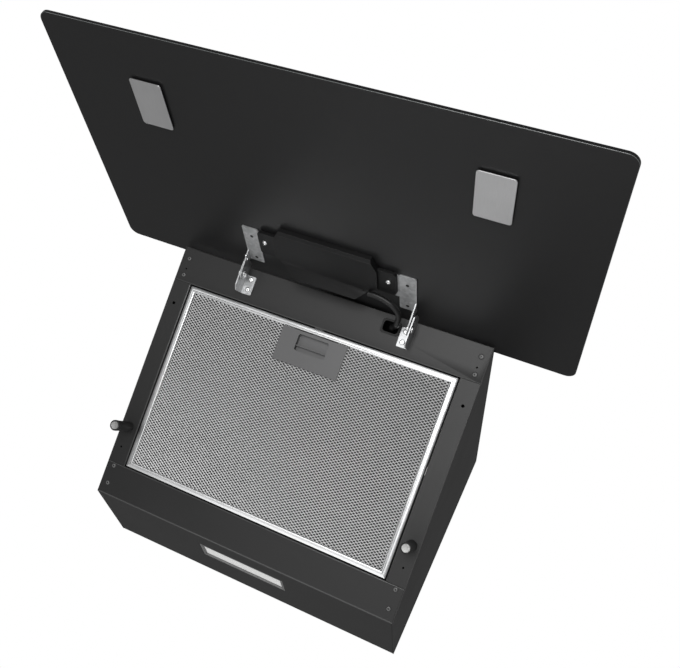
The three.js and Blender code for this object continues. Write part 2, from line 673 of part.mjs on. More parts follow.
// The stepped shell of the touch control, open towards the glass.
function housingForm(inset) {
  const near = HOUSING_NEAR + inset;
  const far = HOUSING_FAR - inset;
  const half = HOUSING_HALF_W - inset;
  const profile = sweep(
    [
      [-1, -near + 4],
      [-1, -far],
      [HOUSING_SHALLOW - 3 - inset, -far],
      [HOUSING_SHALLOW - inset, -far + 3],
      [HOUSING_SHALLOW + 1 - inset, -near - 11],
      [HOUSING_DEEP - inset, -near],
    ],
    "x",
    -half,
    half,
  );
  const plan = sweep(
    [
      [-near + 4, -half + 27],
      [-near, -half + 25],
      [-near - 20, -half],
      [-far + 16, -half],
      [-far, -half + 8],
      [-far, half - 8],
      [-far + 16, half],
      [-near - 20, half],
      [-near, half - 25],
      [-near + 4, half - 27],
    ],
    "y",
    -2,
    HOUSING_DEEP + 1,
  );
  return profile.intersect(plan);
}

function controlHousing() {
  const reach = [-BODY_W, BODY_W];
  const hollow = cut(housingForm(HOUSING_WALL), box(reach, [HOUSING_DEEP, 2 * HOUSING_DEEP], reach));
  const ear = sweep(
    roundRect(...outFrom(TAB_NEAR + 6, TAB_FAR + 5), HOUSING_HALF_W - 4, HOUSING_HALF_W + EAR_W, 4),
    "y",
    UNDER_PLATE,
    UNDER_PLATE + EAR_T,
  );
  const ears = join(cut(ear, hollow), flipX(cut(ear, hollow)));
  const rim = box(reach, [-10, UNDER], reach);
  const tabRoom = [-1, 1].map((s) =>
    bySide(s, box(
      [HOUSING_HALF_W - 1, HOUSING_HALF_W + 2 * EAR_W],
      [-10, UNDER_PLATE],
      outFrom(TAB_NEAR - 2, TAB_FAR + 8),
    )),
  );
  const holes = [-1, 1].map((s) => bar(SCREW_R + GAP, "y", -1, 12, -EAR_SCREW_FAR, s * EAR_SCREW_X, 12));
  const exit = bar(CABLE_R + GAP, "x", 48, 90, CABLE_BELOW, -CABLE_FAR, 16);
  return cut(join(housingForm(0), ears), hollow, rim, ...tabRoom, ...holes, exit);
}

function touchBoard() {
  const half = HOUSING_HALF_W - HOUSING_WALL - 12;
  return box([-half, half], [UNDER, UNDER + 1.6], outFrom(HOUSING_NEAR + 26, HOUSING_FAR - 6));
}

function earScrew(side) {
  const head = bar(SCREW_HEAD_R, "y", EAR_BOTTOM + GAP, EAR_BOTTOM + GAP + SCREW_HEAD_T, ...EAR_AT, 16);
  const shank = bar(SCREW_R, "y", UNDER + 0.2, EAR_BOTTOM + GAP + 0.5, ...EAR_AT, 12);
  return bySide(side, join(head, shank));
}
const EAR_BOTTOM = UNDER_PLATE + EAR_T;
const EAR_AT = [-EAR_SCREW_FAR, EAR_SCREW_X];

// ---- the cable from the touch control to the slot in the top rail ------------------------------
function cableGrommet() {
  const body = cableSlot(-GAP, -0.8, SHEET + 1);
  const collar = cableSlot(2, SHEET + GAP, SHEET + GAP + 1.5);
  return cut(join(body, collar), cableSlot(-GAP - 2, -5, 10));
}

function controlCable() {
  const onPanel = [
    [56, CABLE_BELOW, -CABLE_FAR],
    [66, CABLE_BELOW, -CABLE_FAR],
    [78, CABLE_BELOW + 1, -CABLE_FAR + 2],
    [89, CABLE_BELOW + 3, -CABLE_FAR + 7],
    [96, CABLE_BELOW + 6, -CABLE_FAR + 16],
    [96, CABLE_BELOW + 11, -CABLE_FAR + 25],
  ];
  const onFace = [
    [91, -7, -SLOT_DOWN + 2],
    [SLOT_X + 1, 1, -SLOT_DOWN],
    [SLOT_X, 9, -SLOT_DOWN - 1],
    [SLOT_X, 18, -SLOT_DOWN - 3],
  ];
  const points = [
    ...onPanel.map((p) => panel.localToWorld(new THREE.Vector3(...p))),
    ...onFace.map((p) => face.localToWorld(new THREE.Vector3(...p))),
  ];
  return tube(new THREE.CatmullRomCurve3(points), CABLE_R, 30, 10);
}

// ---- the duct outlet and its damper ------------------------------------------------------------
function outletCollar() {
  const foot = BODY_H + GAP;
  const wall = bar(DUCT_R, "z", foot, foot + DUCT_H, 0, DUCT_Y, 48);
  const rim = bar(RIM_R, "z", foot, foot + WALL, 0, DUCT_Y, 48);
  const bore = bar(DUCT_R - WALL, "z", BODY_H - 5, BODY_H + 2 * DUCT_H, 0, DUCT_Y, 48);
  const pivot = bar(ROD_R + GAP, "x", -BODY_W, BODY_W, ...ROD_AT, 16);
  return cut(join(wall, rim), bore, pivot);
}
const ROD_AT = [DUCT_Y, BODY_H + ROD_UP];
const damperRod = () => bar(ROD_R, "x", -DUCT_R - 2, DUCT_R + 2, ...ROD_AT, 16);

// A half disc on its own barrels, which leave room on the rod for the other flap's.
function damperFlap(side, barrels) {
  const away = BARREL_R + 0.4;
  const disc = bar(DUCT_R - WALL - 1, "z", ROD_AT[1] - FLAP_T / 2, ROD_AT[1] + FLAP_T / 2, 0, DUCT_Y, 48);
  const half = [DUCT_Y + (side < 0 ? -2 * DUCT_R : away), DUCT_Y + (side < 0 ? -away : 2 * DUCT_R)];
  const plate = disc.intersect(box([-DUCT_R, DUCT_R], half, [BODY_H, 2 * BODY_H]));
  const hubs = barrels.flatMap(([from, to]) => [
    bar(BARREL_R, "x", from, to, ...ROD_AT, 20),
    box([from, to], [DUCT_Y + side * 4 - 1.2, DUCT_Y + side * 4 + 1.2], [
      ROD_AT[1] - FLAP_T / 2,
      ROD_AT[1] + FLAP_T / 2,
    ]),
  ]);
  return cut(join(plate, ...hubs), bar(ROD_R + GAP, "x", -DUCT_R, DUCT_R, ...ROD_AT, 16));
}
const FRONT_BARRELS = [
  [-50, -30],
  [-10, 10],
  [30, 50],
];
const REAR_BARRELS = [
  [-29.6, -10.4],
  [10.4, 29.6],
];

// ---- the blower --------------------------------------------------------------------------------
// The scroll grows from its tongue, over the wall-side edge of the duct, round to the duct's front.
function scrollOutline(grow, top) {
  const tongue = Math.PI * 0.45;
  const end = -Math.PI;
  const shape = new THREE.Shape();
  for (let i = 0; i <= SCROLL_STEPS; i++) {
    const t = i / SCROLL_STEPS;
    const a = tongue + t * (end - tongue);
    const r = SCROLL_R0 + t * (SCROLL_R1 - SCROLL_R0) + grow;
    shape[i ? "lineTo" : "moveTo"](FAN_Y + r * Math.cos(a), FAN_Z + r * Math.sin(a));
  }
  shape.lineTo(DUCT_Y - DUCT_R + 2 * WALL - grow, top - 20);
  shape.lineTo(DUCT_Y - DUCT_R + 2 * WALL - grow, top);
  shape.lineTo(DUCT_Y + DUCT_R - 2 * WALL + grow, top);
  shape.closePath();
  return shape;
}

function blowerScroll() {
  const top = BODY_H - SHEET - GAP;
  const outer = sweep(scrollOutline(WALL, top), "x", -FAN_HALF_W, FAN_HALF_W);
  const inner = sweep(scrollOutline(0, top + 5), "x", -FAN_HALF_W + WALL, FAN_HALF_W - WALL);
  const inlets = bar(INLET_R, "x", -2 * FAN_HALF_W, 2 * FAN_HALF_W, FAN_Y, FAN_Z, 40);
  return cut(outer, inner, inlets);
}

// A shape turned about the fan's axis.
function aboutFan(shape, angle) {
  const there = new THREE.Matrix4().makeTranslation(0, FAN_Y, FAN_Z);
  const back = new THREE.Matrix4().makeTranslation(0, -FAN_Y, -FAN_Z);
  return placed(shape, there.multiply(new THREE.Matrix4().makeRotationX(angle)).multiply(back));
}

function impeller() {
  const ringAt = (x, inner) =>
    cut(
      bar(IMPELLER_R, "x", x, x + 2, FAN_Y, FAN_Z, 40),
      bar(inner, "x", x - 1, x + 3, FAN_Y, FAN_Z, 40),
    );
  const half = FAN_HALF_W - WALL - 3;
  const blade = placed(
    box([-half + 1, half - 1], [-BLADE_DEPTH / 2, BLADE_DEPTH / 2], [-BLADE_T / 2, BLADE_T / 2]),
    new THREE.Matrix4()
      .makeTranslation(0, FAN_Y + IMPELLER_R - 1 - BLADE_DEPTH / 2, FAN_Z)
      .multiply(new THREE.Matrix4().makeRotationX(BLADE_TURN)),
  );
  const blades = [];
  for (let i = 0; i < BLADES; i++) blades.push(aboutFan(blade, (i / BLADES) * 2 * Math.PI));
  const hub = bar(10, "x", -12, 12, FAN_Y, FAN_Z, 24);
  return cut(
    join(ringAt(-half, IMPELLER_R - BLADE_DEPTH), ringAt(half - 2, IMPELLER_R - BLADE_DEPTH), hub,
      ringAt(-1, SHAFT_R), ...blades),
    bar(SHAFT_R + GAP, "x", -20, 20, FAN_Y, FAN_Z, 20),
  );
}

const motorShaft = () => bar(SHAFT_R, "x", -MOTOR_FACE - 14, 13, FAN_Y, FAN_Z, 20);

function motor() {
  const can = bar(MOTOR_R, "x", -FAN_HALF_W - 10, -MOTOR_FACE, FAN_Y, FAN_Z, 32);
  const neck = bar(9, "x", -MOTOR_FACE - 1, -MOTOR_FACE + 3, FAN_Y, FAN_Z, 20);
  const bore = bar(SHAFT_R + GAP, "x", -MOTOR_FACE - 15, 0, FAN_Y, FAN_Z, 20);
  return cut(join(can, neck), bore);
}

// Three legs hold the motor's back in the middle of the scroll's left inlet.
function motorBracket() {
  const back = -FAN_HALF_W - 10 - GAP;
  const parts = [bar(22, "x", back - 2, back, FAN_Y, FAN_Z, 24)];
  for (let i = 0; i < 3; i++) {
    const arm = box([back - 2, back], [FAN_Y - 6, FAN_Y + 6], [FAN_Z + 10, FAN_Z + INLET_R + 9]);
    const leg = box(
      [back - 2, -FAN_HALF_W - GAP],
      [FAN_Y - 6, FAN_Y + 6],
      [FAN_Z + INLET_R + 4, FAN_Z + INLET_R + 9],
    );
    parts.push(aboutFan(join(arm, leg), (i / 3) * 2 * Math.PI));
  }
  return join(...parts);
}

// ---- the electrics -----------------------------------------------------------------------------
const BOX_BACK = -SHEET - GAP;
const inBox = (inset) => [
  [BOX_X - BOX_W / 2 + inset, BOX_X + BOX_W / 2 - inset],
  [BOX_Z + inset, BOX_Z + BOX_H - inset],
];

function controlBox() {
  const [x, z] = inBox(0);
  const [xIn, zIn] = inBox(WALL);
  const shell = cut(
    box(x, [BOX_BACK - BOX_D, BOX_BACK], z),
    box(xIn, [BOX_BACK - BOX_D - 1, BOX_BACK - WALL], zIn),
  );
  const pillars = [-1, 1].flatMap((s) =>
    [-1, 1].map((t) =>
      bar(3, "y", BOX_BACK - PILLAR_L, BOX_BACK - 0.5, BOX_Z + BOX_H / 2 + t * 26, BOX_X + s * 30, 12),
    ),
  );
  return join(shell, ...pillars);
}

function boxLid() {
  const [x, z] = inBox(0);
  const face = BOX_BACK - BOX_D - GAP;
  return box(x, [face - WALL, face], z);
}

function powerBoard() {
  const [x, z] = inBox(WALL + 1);
  const back = BOX_BACK - PILLAR_L - GAP;
  return join(
    box(x, [back - 1.6, back], z),
    box([BOX_X - 28, BOX_X - 4], [back - 24, back - 1], [BOX_Z + 14, BOX_Z + 36]),
    box([BOX_X + 6, BOX_X + 26], [back - 16, back - 1], [BOX_Z + 40, BOX_Z + 58]),
  );
}

const capacitor = () =>
  bar(14, "z", BOX_Z + BOX_H + GAP, BOX_Z + BOX_H + GAP + 50, BOX_X - 10, BOX_BACK - 20, 24);

function mainsGland() {
  const at = [GLAND_X, GLAND_Y];
  const neck = bar(GLAND_R, "z", BODY_H - SHEET - 1, BODY_H + 1, ...at, 24);
  const cap = bar(GLAND_R + 4, "z", BODY_H + GAP, BODY_H + 10, ...at, 24);
  const nut = bar(GLAND_R + 4, "z", BODY_H - SHEET - GAP - 4, BODY_H - SHEET - GAP, ...at, 6);
  return cut(join(neck, cap, nut), bar(GLAND_R / 2, "z", BODY_H - 20, BODY_H + 20, ...at, 16));
}

// ---- the assembly ------------------------------------------------------------------------------
for (const [name, side] of SIDES) {
  add(body, `side_panel_${name}`, sidePanel(side), BLACK_STEEL);
  add(face, `post_${name}`, post(side), RUBBER);
  add(face, `magnet_${name}`, magnet(side), STEEL);
  add(face, `post_nut_${name}`, postNut(side), STEEL);
  add(panel, `strike_pad_${name}`, strike(side, 2.2, UNDER, UNDER + PAD_T), FOAM);
  const plateTop = UNDER + PAD_T + GAP;
  add(panel, `strike_plate_${name}`, strike(side, 0, plateTop, plateTop + STRIKE_T), GALVANISED);
  add(panel, `upper_bracket_${name}`, upperBracket(side), GALVANISED);
  add(face, `lower_bracket_${name}`, lowerBracket(side), GALVANISED);
  add(face, `hinge_pin_${name}`, hingePin(side), STEEL);
  add(face, `bracket_screw_upper_${name}`, footScrew(side, FOOT_SCREWS[0]), STEEL);
  add(face, `bracket_screw_lower_${name}`, footScrew(side, FOOT_SCREWS[1]), STEEL);
  add(panel, `ear_screw_${name}`, earScrew(side), STEEL);
}
add(body, "back_panel", backPanel(), BLACK_STEEL);
add(body, "top_panel", topPanel(), BLACK_STEEL);
add(body, "top_rail", topRail(), BLACK_STEEL);
add(body, "sill_panel", sill(), BLACK_STEEL);

add(face, "filter_frame", filterFrame(), ALUMINIUM);
add(face, "filter_mesh_front", filterLayer(MESH_FRONT, MESH_FRONT + MESH_T), ALUMINIUM);
add(face, "filter_mesh_core", filterLayer(MESH_FRONT + MESH_T + GAP, MESH_BACK - MESH_T - GAP), ALUMINIUM);
add(face, "filter_mesh_back", filterLayer(MESH_BACK - MESH_T, MESH_BACK), ALUMINIUM);
add(face, "latch_plate", latchPlate(), GREY_PLASTIC);
add(face, "latch_slider", latchSlider(), GREY_PLASTIC);
add(face, "latch_spring", latchSpring(), STEEL);

add(body, "led_bezel", ledBezel(), GREY_PLASTIC);
add(body, "led_lens", ledLens(), DIFFUSER);
add(body, "led_board", ledBoard(), BOARD);

add(panel, "glass_panel", glassPanel(), BLACK_GLASS);
add(panel, "control_housing", controlHousing(), BLACK_PLASTIC);
add(panel, "touch_board", touchBoard(), BOARD);
add(face, "cable_grommet", cableGrommet(), RUBBER);
add(hood, "control_cable", controlCable(), BLACK_PLASTIC);

add(body, "outlet_collar", outletCollar(), BLACK_PLASTIC);
add(body, "damper_rod", damperRod(), STEEL);
add(body, "damper_flap_front", damperFlap(-1, FRONT_BARRELS), BLACK_PLASTIC);
add(body, "damper_flap_rear", damperFlap(1, REAR_BARRELS), BLACK_PLASTIC);

add(body, "blower_scroll", blowerScroll(), BLACK_PLASTIC);
add(body, "impeller", impeller(), BLACK_PLASTIC);
add(body, "motor_shaft", motorShaft(), STEEL);
add(body, "motor", motor(), STEEL);
add(body, "motor_bracket", motorBracket(), GALVANISED);

add(body, "control_box", controlBox(), BLACK_PLASTIC);
add(body, "box_lid", boxLid(), BLACK_PLASTIC);
add(body, "power_board", powerBoard(), BOARD);
add(body, "capacitor", capacitor(), GREY_PLASTIC);
add(body, "mains_gland", mainsGland(), BLACK_PLASTIC);

export default hood;
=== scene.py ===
# %% [markdown]
# # A slanted range hood with its glass swung open
# This lesson dresses the CAD model of a wall-hung range hood: a black steel body, an aluminium mesh
# filter with a finger latch, and a black glass panel on two zinc-plated brackets. The CAD model gives
# every size. Here each piece gets the small shapes and the finish that the real one has.

import json
import math

import bmesh
import bpy
from mathutils import Matrix, Vector

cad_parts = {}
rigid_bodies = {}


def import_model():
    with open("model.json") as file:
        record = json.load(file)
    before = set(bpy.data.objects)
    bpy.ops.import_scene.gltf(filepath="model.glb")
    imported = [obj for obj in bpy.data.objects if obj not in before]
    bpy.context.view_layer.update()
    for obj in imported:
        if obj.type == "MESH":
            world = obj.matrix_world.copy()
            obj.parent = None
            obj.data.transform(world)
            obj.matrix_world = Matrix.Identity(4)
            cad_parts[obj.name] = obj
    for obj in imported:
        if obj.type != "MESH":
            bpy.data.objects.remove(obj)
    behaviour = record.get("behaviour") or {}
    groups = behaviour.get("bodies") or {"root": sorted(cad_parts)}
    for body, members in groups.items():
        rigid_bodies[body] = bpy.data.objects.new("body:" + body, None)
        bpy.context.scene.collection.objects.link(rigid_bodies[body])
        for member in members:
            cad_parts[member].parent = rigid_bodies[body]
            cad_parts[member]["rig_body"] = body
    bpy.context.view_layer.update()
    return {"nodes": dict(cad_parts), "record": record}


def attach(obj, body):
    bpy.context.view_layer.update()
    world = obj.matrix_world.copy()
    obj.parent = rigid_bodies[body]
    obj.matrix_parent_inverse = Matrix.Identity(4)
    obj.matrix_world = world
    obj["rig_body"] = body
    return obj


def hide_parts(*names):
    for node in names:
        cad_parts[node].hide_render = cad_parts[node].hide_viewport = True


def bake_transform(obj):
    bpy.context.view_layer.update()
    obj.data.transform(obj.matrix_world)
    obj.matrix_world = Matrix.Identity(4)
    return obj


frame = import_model()
NODES = frame["nodes"]
SLOTS = {part["node"]: part["material_slot"] for part in frame["record"]["subparts"]}

# %% [markdown]
# ## Camera
# The hood is seen from below and from its right, as a buyer standing at the hob would see it. The
# camera is given by its place and its three axes, and a small lens shift centres the picture.

# %% Put something in the scene
def linked(name, data):
    """A new object in the scene, at the origin."""
    made = bpy.data.objects.new(name, data)
    bpy.context.scene.collection.objects.link(made)
    return made


# %% The camera
CAMERA_AT = (0.32983, -1.14044, -0.42021)
CAMERA_RIGHT = Vector((0.88665, 0.11004, 0.44915))
CAMERA_DOWN = Vector((0.32784, 0.53545, -0.77835))
CAMERA_FORWARD = Vector((-0.32615, 0.83737, 0.43868))

camera_data = bpy.data.cameras.new("camera")
camera_data.lens = 46.42
camera_data.sensor_width = 36
camera_data.shift_x = 0.0821
camera_data.shift_y = 0.0547
camera = linked("camera", camera_data)
turn = Matrix((CAMERA_RIGHT, -CAMERA_DOWN, -CAMERA_FORWARD)).transposed()
camera.matrix_world = Matrix.Translation(CAMERA_AT) @ turn.to_4x4()
bpy.context.scene.camera = camera

# %% [markdown]
# ## Three frames to work in
# The pieces lie on three planes: the body, the slanted face and the inner side of the open glass. A
# piece is drawn in millimetres in its own plane and then carried to its place by one matrix, so that
# its mesh ends up in the right place while its object stays at the origin.

# %% The body, the slanted face and the glass
BODY_W, BODY_H, TOP_DEPTH, BOTTOM_DEPTH = 415, 298, 288, 129
SLANT = math.atan2(TOP_DEPTH - BOTTOM_DEPTH, BODY_H)
FACE_L = math.hypot(TOP_DEPTH - BOTTOM_DEPTH, BODY_H)
OPEN_DROOP = math.radians(2.2)
AXIS_OUT, AXIS_DOWN, AXIS_TO_GLASS, AXIS_TO_EDGE = 18, 12, 22.5, 27
MILLIMETRES = Matrix.Scale(0.001, 4)


def turned_about_x(angle):
    return Matrix.Rotation(angle, 4, "X")


BODY = MILLIMETRES @ Matrix.Translation((0, 0, -BODY_H / 2))
FACE = BODY @ Matrix.Translation((0, -TOP_DEPTH, BODY_H)) @ turned_about_x(SLANT)
OPEN_TURN = OPEN_DROOP - math.pi / 2 - SLANT
HINGE = FACE @ Matrix.Translation((0, -AXIS_OUT, -AXIS_DOWN)) @ turned_about_x(OPEN_TURN)
PANEL = HINGE @ Matrix.Translation((0, -AXIS_TO_GLASS, AXIS_TO_EDGE))
print("slant of the face:", round(math.degrees(SLANT), 1), "degrees")

# %% [markdown]
# ## Light
# A black object on white needs a light world to be seen against, but the same white would wash out
# its own surfaces. So the world is white where the camera looks and a soft grey where it lights, and
# large area lights draw the highlights on folds and edges. The camera does not see the lights
# themselves.

# %% World, floor and lights
world = bpy.data.worlds.new("studio")
world.use_nodes = True
bpy.context.scene.world = world
bpy.context.scene.view_settings.view_transform = "Standard"
BACKDROP_WHITE = 1.0
FILL_GREY = 0.2
tree = world.node_tree
background = tree.nodes["Background"]
seen = tree.nodes.new("ShaderNodeLightPath").outputs["Is Camera Ray"]
strength = tree.nodes.new("ShaderNodeMapRange")
strength.inputs["To Min"].default_value = FILL_GREY
strength.inputs["To Max"].default_value = BACKDROP_WHITE
tree.links.new(seen, strength.inputs["Value"])
tree.links.new(strength.outputs["Result"], background.inputs["Strength"])
background.inputs["Color"].default_value = (1, 1, 1, 1)


def softbox(name, at, toward, size, power):
    """A square area light that looks at a point."""
    data = bpy.data.lights.new(name, "AREA")
    data.size = size
    data.energy = power
    light = linked(name, data)
    facing = (Vector(toward) - Vector(at)).to_track_quat("-Z", "Y")
    light.matrix_world = Matrix.Translation(at) @ facing.to_matrix().to_4x4()
    light.visible_camera = False


SOFTBOXES = {
    # name: (place, the point it looks at, size in metres, watts)
    "front_softbox": ((0.15, -1.75, -0.42), (0, -0.2, 0), 0.85, 19),
    "key_softbox": ((-0.85, -1.25, -0.32), (0, -0.3, 0.1), 0.4, 1.2),
    "low_softbox": ((0.0, -0.35, -0.86), (0, -0.35, 0), 0.9, 2.7),
    "top_softbox": ((0.0, -0.3, 1.9), (0, -0.2, 0), 1.6, 14),
    "back_softbox": ((-0.9, 1.7, 0.75), (0, 0, 0), 1.2, 22),
}
for name, settings in SOFTBOXES.items():
    softbox(name, *settings)

# %% [markdown]
# ## A small language for finishes
# A finish is a graph of shader nodes. Written out by hand it is long, so one class wraps a socket and
# lets Python's own signs add the Math nodes, and one method adds any other node.

# %% Sockets that can be added and multiplied
class Socket:
    """An output socket. Sums, products and comparisons on it add Math nodes."""

    def __init__(self, finish, link):
        self.finish = finish
        self.link = link

    def math(self, operation, first, second):
        return self.finish.node("ShaderNodeMath", {"operation": operation}, {0: first, 1: second})

    def __add__(self, other):
        return self.math("ADD", self, other)

    def __radd__(self, other):
        return self.math("ADD", other, self)

    def __sub__(self, other):
        return self.math("SUBTRACT", self, other)

    def __rsub__(self, other):
        return self.math("SUBTRACT", other, self)

    def __mul__(self, other):
        return self.math("MULTIPLY", self, other)

    def __rmul__(self, other):
        return self.math("MULTIPLY", other, self)

    def __gt__(self, other):
        return self.math("GREATER_THAN", self, other)


class Finish:
    """A material built round one Principled shader."""

    def __init__(self, name, **fixed):
        self.material = bpy.data.materials.new(name)
        self.material.use_nodes = True
        self.tree = self.material.node_tree
        self.shader = self.tree.nodes["Principled BSDF"]
        for socket, value in fixed.items():
            self.shader.inputs[socket.replace("_", " ")].default_value = value

    def plug(self, socket, value):
        if isinstance(value, Socket):
            self.tree.links.new(value.link, socket)
        else:
            socket.default_value = value

    def node(self, kind, settings=None, inputs=None, output=0):
        made = self.tree.nodes.new(kind)
        for name, value in (settings or {}).items():
            if name == "stops":
                ramp = made.color_ramp
                while len(ramp.elements) < len(value):
                    ramp.elements.new(0.5)
                for element, (position, colour) in zip(ramp.elements, value):
                    element.position = position
                    element.color = colour
            else:
                setattr(made, name, value)
        for name, value in (inputs or {}).items():
            self.plug(made.inputs[name], value)
        return Socket(self, made.outputs[output])

    def drive(self, **values):
        for name, value in values.items():
            self.plug(self.shader.inputs[name.replace("_", " ")], value)
        return self

    def place(self, stretch=(1, 1, 1), turn=(0, 0, 0)):
        """Object coordinates, stretched or turned."""
        at = self.node("ShaderNodeTexCoord", output="Object")
        if tuple(stretch) == (1, 1, 1) and tuple(turn) == (0, 0, 0):
            return at
        return self.node("ShaderNodeMapping", {}, {"Vector": at, "Scale": stretch, "Rotation": turn})

    def noise(self, scale, detail=2.0, rough=0.5, at=None):
        where = at or self.place()
        sockets = {"Vector": where, "Scale": scale, "Detail": detail, "Roughness": rough}
        return self.node("ShaderNodeTexNoise", {}, sockets)

    def cells(self, scale, output="Distance", at=None, feature="F1"):
        sockets = {"Vector": at or self.place(), "Scale": scale}
        return self.node("ShaderNodeTexVoronoi", {"feature": feature}, sockets, output)

    def between(self, mask, low, high):
        """A number from low to high."""
        return mask * (high - low) + low

    def blend(self, mask, first, second):
        """A colour between two colours."""
        stops = [(0.0, (*first, 1)), (1.0, (*second, 1))]
        return self.node("ShaderNodeValToRGB", {"stops": stops}, {"Fac": mask})

    def bump(self, height, distance, strength=1.0):
        sockets = {"Height": height, "Distance": distance, "Strength": strength}
        return self.node("ShaderNodeBump", {}, sockets)


# %% [markdown]
# ## Finishes
# The body is steel with a fine-textured satin powder coat: a dense, soft grain that breaks up the
# highlight. A noise of about half a millimetre gives the grain, and a slow one keeps the large flat
# panels from looking like plain plastic.

# %% Painted steel
def powder_coat(name, low, high, rough_low=0.40, rough_high=0.56):
    paint = Finish(name, Specular_IOR_Level=0.4)
    grain = paint.noise(1800, 3)
    drift = paint.noise(9, 2)
    colour = paint.blend(grain * 0.6 + drift * 0.4, (low,) * 3, (high,) * 3)
    rough = paint.between(drift * 0.7 + grain * 0.3, rough_low, rough_high)
    return paint.drive(Base_Color=colour, Roughness=rough, Normal=paint.bump(grain, 0.00006, 0.5))


# %% [markdown]
# Glass is black all through here, because the real panel is printed black on its back. Its faces are
# polished, with the faintest wipe marks. Its inner side is satin, and its ground rim is coloured
# lighter, a painted highlight.

# %% Glass
def black_glass():
    glass = Finish("black_glass", Specular_IOR_Level=0.5, IOR=1.5)
    wipes = glass.noise(5, 4, 0.65, glass.place((1, 3, 1)))
    colour = glass.blend(wipes, (0.004, 0.004, 0.0042), (0.006, 0.006, 0.0063))
    return glass.drive(Base_Color=colour, Roughness=glass.between(wipes, 0.03, 0.14))


def printed_back():
    """The fired black print on the panel's inner side: satin, with a fine orange peel."""
    enamel = Finish("printed_glass_back", Specular_IOR_Level=0.3, IOR=1.5)
    peel = enamel.noise(420, 2)
    drift = enamel.noise(4, 3)
    colour = enamel.blend(drift, (0.0075, 0.0075, 0.0077), (0.0098, 0.0098, 0.0101))
    rough = enamel.between(drift * 0.7 + peel * 0.3, 0.30, 0.44)
    return enamel.drive(Base_Color=colour, Roughness=rough, Normal=enamel.bump(peel, 0.00002, 0.3))


def painted_rim_highlight():
    # The rim is coloured far lighter than the black glass: a painted highlight.
    edge = Finish("polished_glass_edge_painted_highlight", Specular_IOR_Level=0.6, IOR=1.5)
    marks = edge.noise(900, 2)
    colour = edge.blend(marks, (0.05, 0.054, 0.054), (0.16, 0.17, 0.17))
    return edge.drive(Base_Color=colour, Roughness=edge.between(marks, 0.12, 0.3))


# %% [markdown]
# The filter's frame is bright rolled aluminium. Rolling leaves very fine lines along the strip, so the
# noise is stretched far along X. Galvanised steel is different: its zinc freezes in flat crystals,
# which a Voronoi pattern gives by changing the brightness and the roughness from cell to cell.

# %% Bare metals
def rolled_aluminium(name, low, high, lines=(0.04, 1, 1)):
    metal = Finish(name, Metallic=1.0)
    streaks = metal.noise(1500, 3, 0.6, metal.place(lines))
    stains = metal.noise(14, 3)
    colour = metal.blend(streaks * 0.5 + stains * 0.5, low, high)
    rough = metal.between(streaks * 0.5 + stains * 0.5, 0.24, 0.46)
    return metal.drive(Base_Color=colour, Roughness=rough, Normal=metal.bump(streaks, 0.00002, 0.35))


def brushed_strand():
    """Expanded mesh: torn and stretched, so it is pale and rough and glints only here and there."""
    strand = Finish("mesh_strand", Metallic=0.55, Specular_IOR_Level=0.5)
    tears = strand.noise(900, 3)
    colour = strand.blend(tears, (0.62, 0.625, 0.63), (0.97, 0.97, 0.97))
    rough = strand.between(tears, 0.34, 0.6)
    return strand.drive(Base_Color=colour, Roughness=rough, Normal=strand.bump(tears, 0.00005, 0.5))


def galvanised():
    zinc = Finish("galvanised_steel", Metallic=0.9)
    crystal = zinc.cells(260, "Color")
    shade = zinc.node("ShaderNodeSeparateColor", {}, {"Color": crystal})
    haze = zinc.noise(70, 3)
    mask = shade * 0.55 + haze * 0.45
    colour = zinc.blend(mask, (0.30, 0.305, 0.31), (0.56, 0.565, 0.57))
    return zinc.drive(
        Base_Color=colour,
        Roughness=zinc.between(mask, 0.36, 0.58),
        Normal=zinc.bump(haze, 0.00004, 0.4),
    )


def bright_zinc():
    plate = Finish("bright_zinc_plating", Metallic=1.0)
    mottle = plate.noise(420, 3)
    colour = plate.blend(mottle, (0.62, 0.63, 0.64), (0.86, 0.86, 0.85))
    return plate.drive(Base_Color=colour, Roughness=plate.between(mottle, 0.16, 0.36))


def cast_magnet():
    nickel = Finish("nickel_magnet", Metallic=0.85)
    pits = nickel.noise(1100, 4, 0.7)
    spots = nickel.cells(1400)
    colour = nickel.blend(pits, (0.06, 0.06, 0.06), (0.62, 0.62, 0.61))
    return nickel.drive(
        Base_Color=colour,
        Roughness=nickel.between(pits, 0.35, 0.6),
        Normal=nickel.bump(pits * 0.6 + spots * 0.4, 0.0003, 0.8),
    )


# %% [markdown]
# Plastics and rubber differ less in colour than in sheen. A moulded face has a spark-eroded grain of
# about 0.3 mm, and rubber is rougher and a little dusty on top.

# %% Plastics, rubber and foam
def moulded(name, low, high, rough_low, rough_high, grain_scale=2400, depth=0.00005, sheen=0.45):
    plastic = Finish(name, Specular_IOR_Level=sheen)
    grain = plastic.noise(grain_scale, 2)
    flow = plastic.noise(18, 2)
    mask = grain * 0.5 + flow * 0.5
    return plastic.drive(
        Base_Color=plastic.blend(mask, low, high),
        Roughness=plastic.between(mask, rough_low, rough_high),
        Normal=plastic.bump(grain, depth, 0.5),
    )


def circuit_board():
    board = Finish("circuit_board", Specular_IOR_Level=0.5)
    tracks = board.cells(170, "Distance", feature="DISTANCE_TO_EDGE")
    copper = board.node("ShaderNodeMath", {"operation": "LESS_THAN"}, {0: tracks, 1: 0.09})
    colour = board.blend(copper, (0.015, 0.085, 0.035), (0.05, 0.19, 0.08))
    return board.drive(Base_Color=colour, Roughness=board.between(copper, 0.35, 0.5))


def frosted_lens():
    """A frosted cover with faint rows of tiny prisms, unlit."""
    lens = Finish("frosted_lens", Specular_IOR_Level=0.4)
    prisms = lens.cells(480, "Distance")
    cloud = lens.noise(22, 2)
    colour = lens.blend(prisms * 0.5 + cloud * 0.5, (0.86, 0.86, 0.85), (0.96, 0.96, 0.95))
    rough = lens.between(cloud, 0.4, 0.55)
    return lens.drive(Base_Color=colour, Roughness=rough, Normal=lens.bump(prisms, 0.0002, 0.5))


